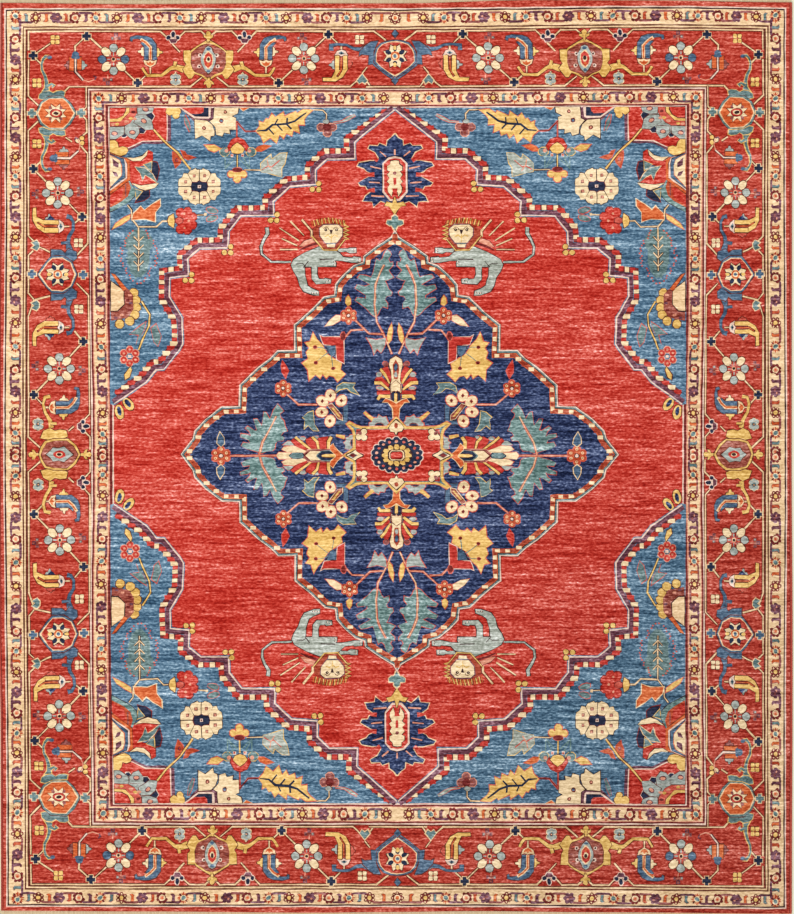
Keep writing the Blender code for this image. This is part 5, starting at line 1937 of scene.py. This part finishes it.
def web_mesh(end, name):
    """The flat-woven web, ribbed by its wefts."""
    half = RUG_WIDTH / 2 - WEB_END_INSET
    points, quads = [], []
    for i in range(WEB_COLUMNS + 1):
        x = -half + 2 * half * i / WEB_COLUMNS
        y0 = end_y(end, x) + end * (PIECE_GAP - WEB_OVERLAP)
        for j in range(WEB_ROWS + 1):
            across = j / WEB_ROWS
            rib = WEFT_RIB * ((i + j) % 2)
            height = WEB_THICKNESS * min(1.0, 4 * (1 - across) + 0.15) - rib
            y = y0 + end * across * (WEB_DEPTH + WEB_OVERLAP)
            points.append((x, y, max(height, WEB_EDGE_HEIGHT)))
    for i in range(WEB_COLUMNS):
        for j in range(WEB_ROWS):
            a = i * (WEB_ROWS + 1) + j
            b = a + WEB_ROWS + 1
            quad = (a, b, b + 1, a + 1)
            quads.append(quad if end > 0 else quad[::-1])
    mesh = bpy.data.meshes.new(name)
    mesh.from_pydata(points, [], quads)
    return mesh


def fringe_mesh(end, name, draw, fray):
    """The knotted locks: each a knot and a few twisted warp yarns that spread out."""
    half = RUG_WIDTH / 2 - WEB_END_INSET
    pitch = 2 * half / LOCKS_PER_END
    points, quads = [], []
    for lock in range(LOCKS_PER_END):
        centre = -half + (lock + 0.5) * pitch
        root = end_y(end, centre) + end * (PIECE_GAP + WEB_DEPTH)
        length = LOCK_LENGTH * (1 + draw.uniform(-1, 1) * LOCK_LENGTH_SPREAD)
        lean = draw.uniform(-1, 1) * LOCK_SIDE_LEAN
        for yarn in range(YARNS_PER_LOCK):
            spread = (yarn - (YARNS_PER_LOCK - 1) / 2) / YARNS_PER_LOCK
            own = length * (1 - fray.uniform(0, YARN_FRAY))
            phase = fray.uniform(0, 6.28)
            path, radii = [], []
            for i in range(YARN_STEPS + 1):
                reach = i / YARN_STEPS
                knot = math.exp(-((reach - KNOT_REACH) / KNOT_HALF_REACH) ** 2)
                wave = YARN_WAVE * math.sin(phase + reach * 7) * reach
                x = centre + lean * reach ** 2 + spread * (0.0055 + 0.0035 * reach - 0.001 * knot) + wave
                z = 0.0011 + 0.0021 * knot * (1 - abs(spread)) + 0.0009 * (1 - reach) * (yarn % 2)
                path.append((x, root + end * own * reach - end * YARN_START * (1 - reach), z))
                radii.append(0.0008 + 0.0007 * knot - 0.0002 * reach)
            made, sides = tube(path, radii, YARN_SIDES, YARN_TWIST)
            start = len(points)
            points += made
            quads += [tuple(start + k for k in q) for q in sides]
    mesh = bpy.data.meshes.new(name)
    mesh.from_pydata([tuple(p) for p in points], [], quads)
    mesh.polygons.foreach_set("use_smooth", [True] * len(mesh.polygons))
    return mesh


def give(piece, material, slot, *nodes):
    piece.data.materials.append(material)
    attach(piece, "root")
    if nodes:
        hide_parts(*nodes)


def build_rug():
    pile = build_pile()
    give(pile, pile_material(), "pile_wool", "knotted_body")
    wool = yarn_material("overcast_wool", (0.52, 0.085, 0.055, 1.0), (0.36, 0.05, 0.035, 1.0), (60, 220, 60))
    for name, side in (("selvedge_left", -1), ("selvedge_right", 1)):
        cord = add_piece("overcast_" + name.split("_")[1], selvedge_mesh("overcast_" + name, side))
        give(cord, wool, "selvedge_wool", name)
    cotton = yarn_material("warp_cotton_yarn", (0.76, 0.62, 0.40, 1.0), (0.58, 0.44, 0.26, 1.0),
                           (300, 40, 300))
    draw, fray = random.Random(FRINGE_SEED), random.Random(FRAY_SEED)
    for name, end in (("fringe_near", -1), ("fringe_far", 1)):
        locks = add_piece("locks_" + name.split("_")[1], fringe_mesh(end, "locks_" + name, draw, fray))
        give(locks, cotton, "warp_cotton", name)
        web = add_piece("web_" + name.split("_")[1], web_mesh(end, "web_" + name))
        give(web, cotton, "warp_cotton", name)


# Stage, light and camera

FLOOR_REACH = 6
FLOOR_DEPTH = 0.0006
FLOOR_COLOUR = (0.87, 0.87, 0.66, 1.0)
SKY_STRENGTH = 0.72
SUN_STRENGTH = 1.1
SUN_SPREAD = 18
SUN_TILT, SUN_LEAN = 28, -22
PHOTO_WIDTH, PHOTO_HEIGHT = 794, 914
CAMERA_HEIGHT = 9.0
SENSOR_HEIGHT = 24


def build_stage():
    mesh = bpy.data.meshes.new("floor")
    corners = [(-FLOOR_REACH, -FLOOR_REACH), (FLOOR_REACH, -FLOOR_REACH), (FLOOR_REACH, FLOOR_REACH),
               (-FLOOR_REACH, FLOOR_REACH)]
    mesh.from_pydata([(x, y, -FLOOR_DEPTH) for x, y in corners], [], [(0, 1, 2, 3)])
    floor = add_piece("floor", mesh)
    material, _, _, shader = new_material("pale_floor", 0.9)
    shader.inputs["Base Color"].default_value = FLOOR_COLOUR
    mesh.materials.append(material)


def build_light():
    world = bpy.data.worlds.new("studio")
    bpy.context.scene.world = world
    world.use_nodes = True
    background = world.node_tree.nodes["Background"]
    background.inputs["Color"].default_value = (1.0, 1.0, 1.0, 1.0)
    background.inputs["Strength"].default_value = SKY_STRENGTH
    data = bpy.data.lights.new("key", "SUN")
    data.energy = SUN_STRENGTH
    data.angle = math.radians(SUN_SPREAD)
    key = bpy.data.objects.new("key", data)
    key.rotation_euler = (math.radians(SUN_TILT), math.radians(SUN_LEAN), 0)
    bpy.context.scene.collection.objects.link(key)


def build_camera():
    data = bpy.data.cameras.new("camera")
    data.sensor_fit = "VERTICAL"
    data.sensor_height = SENSOR_HEIGHT
    view_height = PHOTO_HEIGHT * STEP
    data.lens = SENSOR_HEIGHT * (CAMERA_HEIGHT - BODY_THICKNESS) / view_height
    camera = bpy.data.objects.new("camera", data)
    camera.location = ((PHOTO_WIDTH / 2 - ORIGIN_X) * STEP, (ORIGIN_Y - PHOTO_HEIGHT / 2) * STEP,
                       CAMERA_HEIGHT)
    bpy.context.scene.collection.objects.link(camera)
    bpy.context.scene.camera = camera
    bpy.context.scene.view_settings.view_transform = "Standard"


build_rug()
build_stage()
build_light()
build_camera()
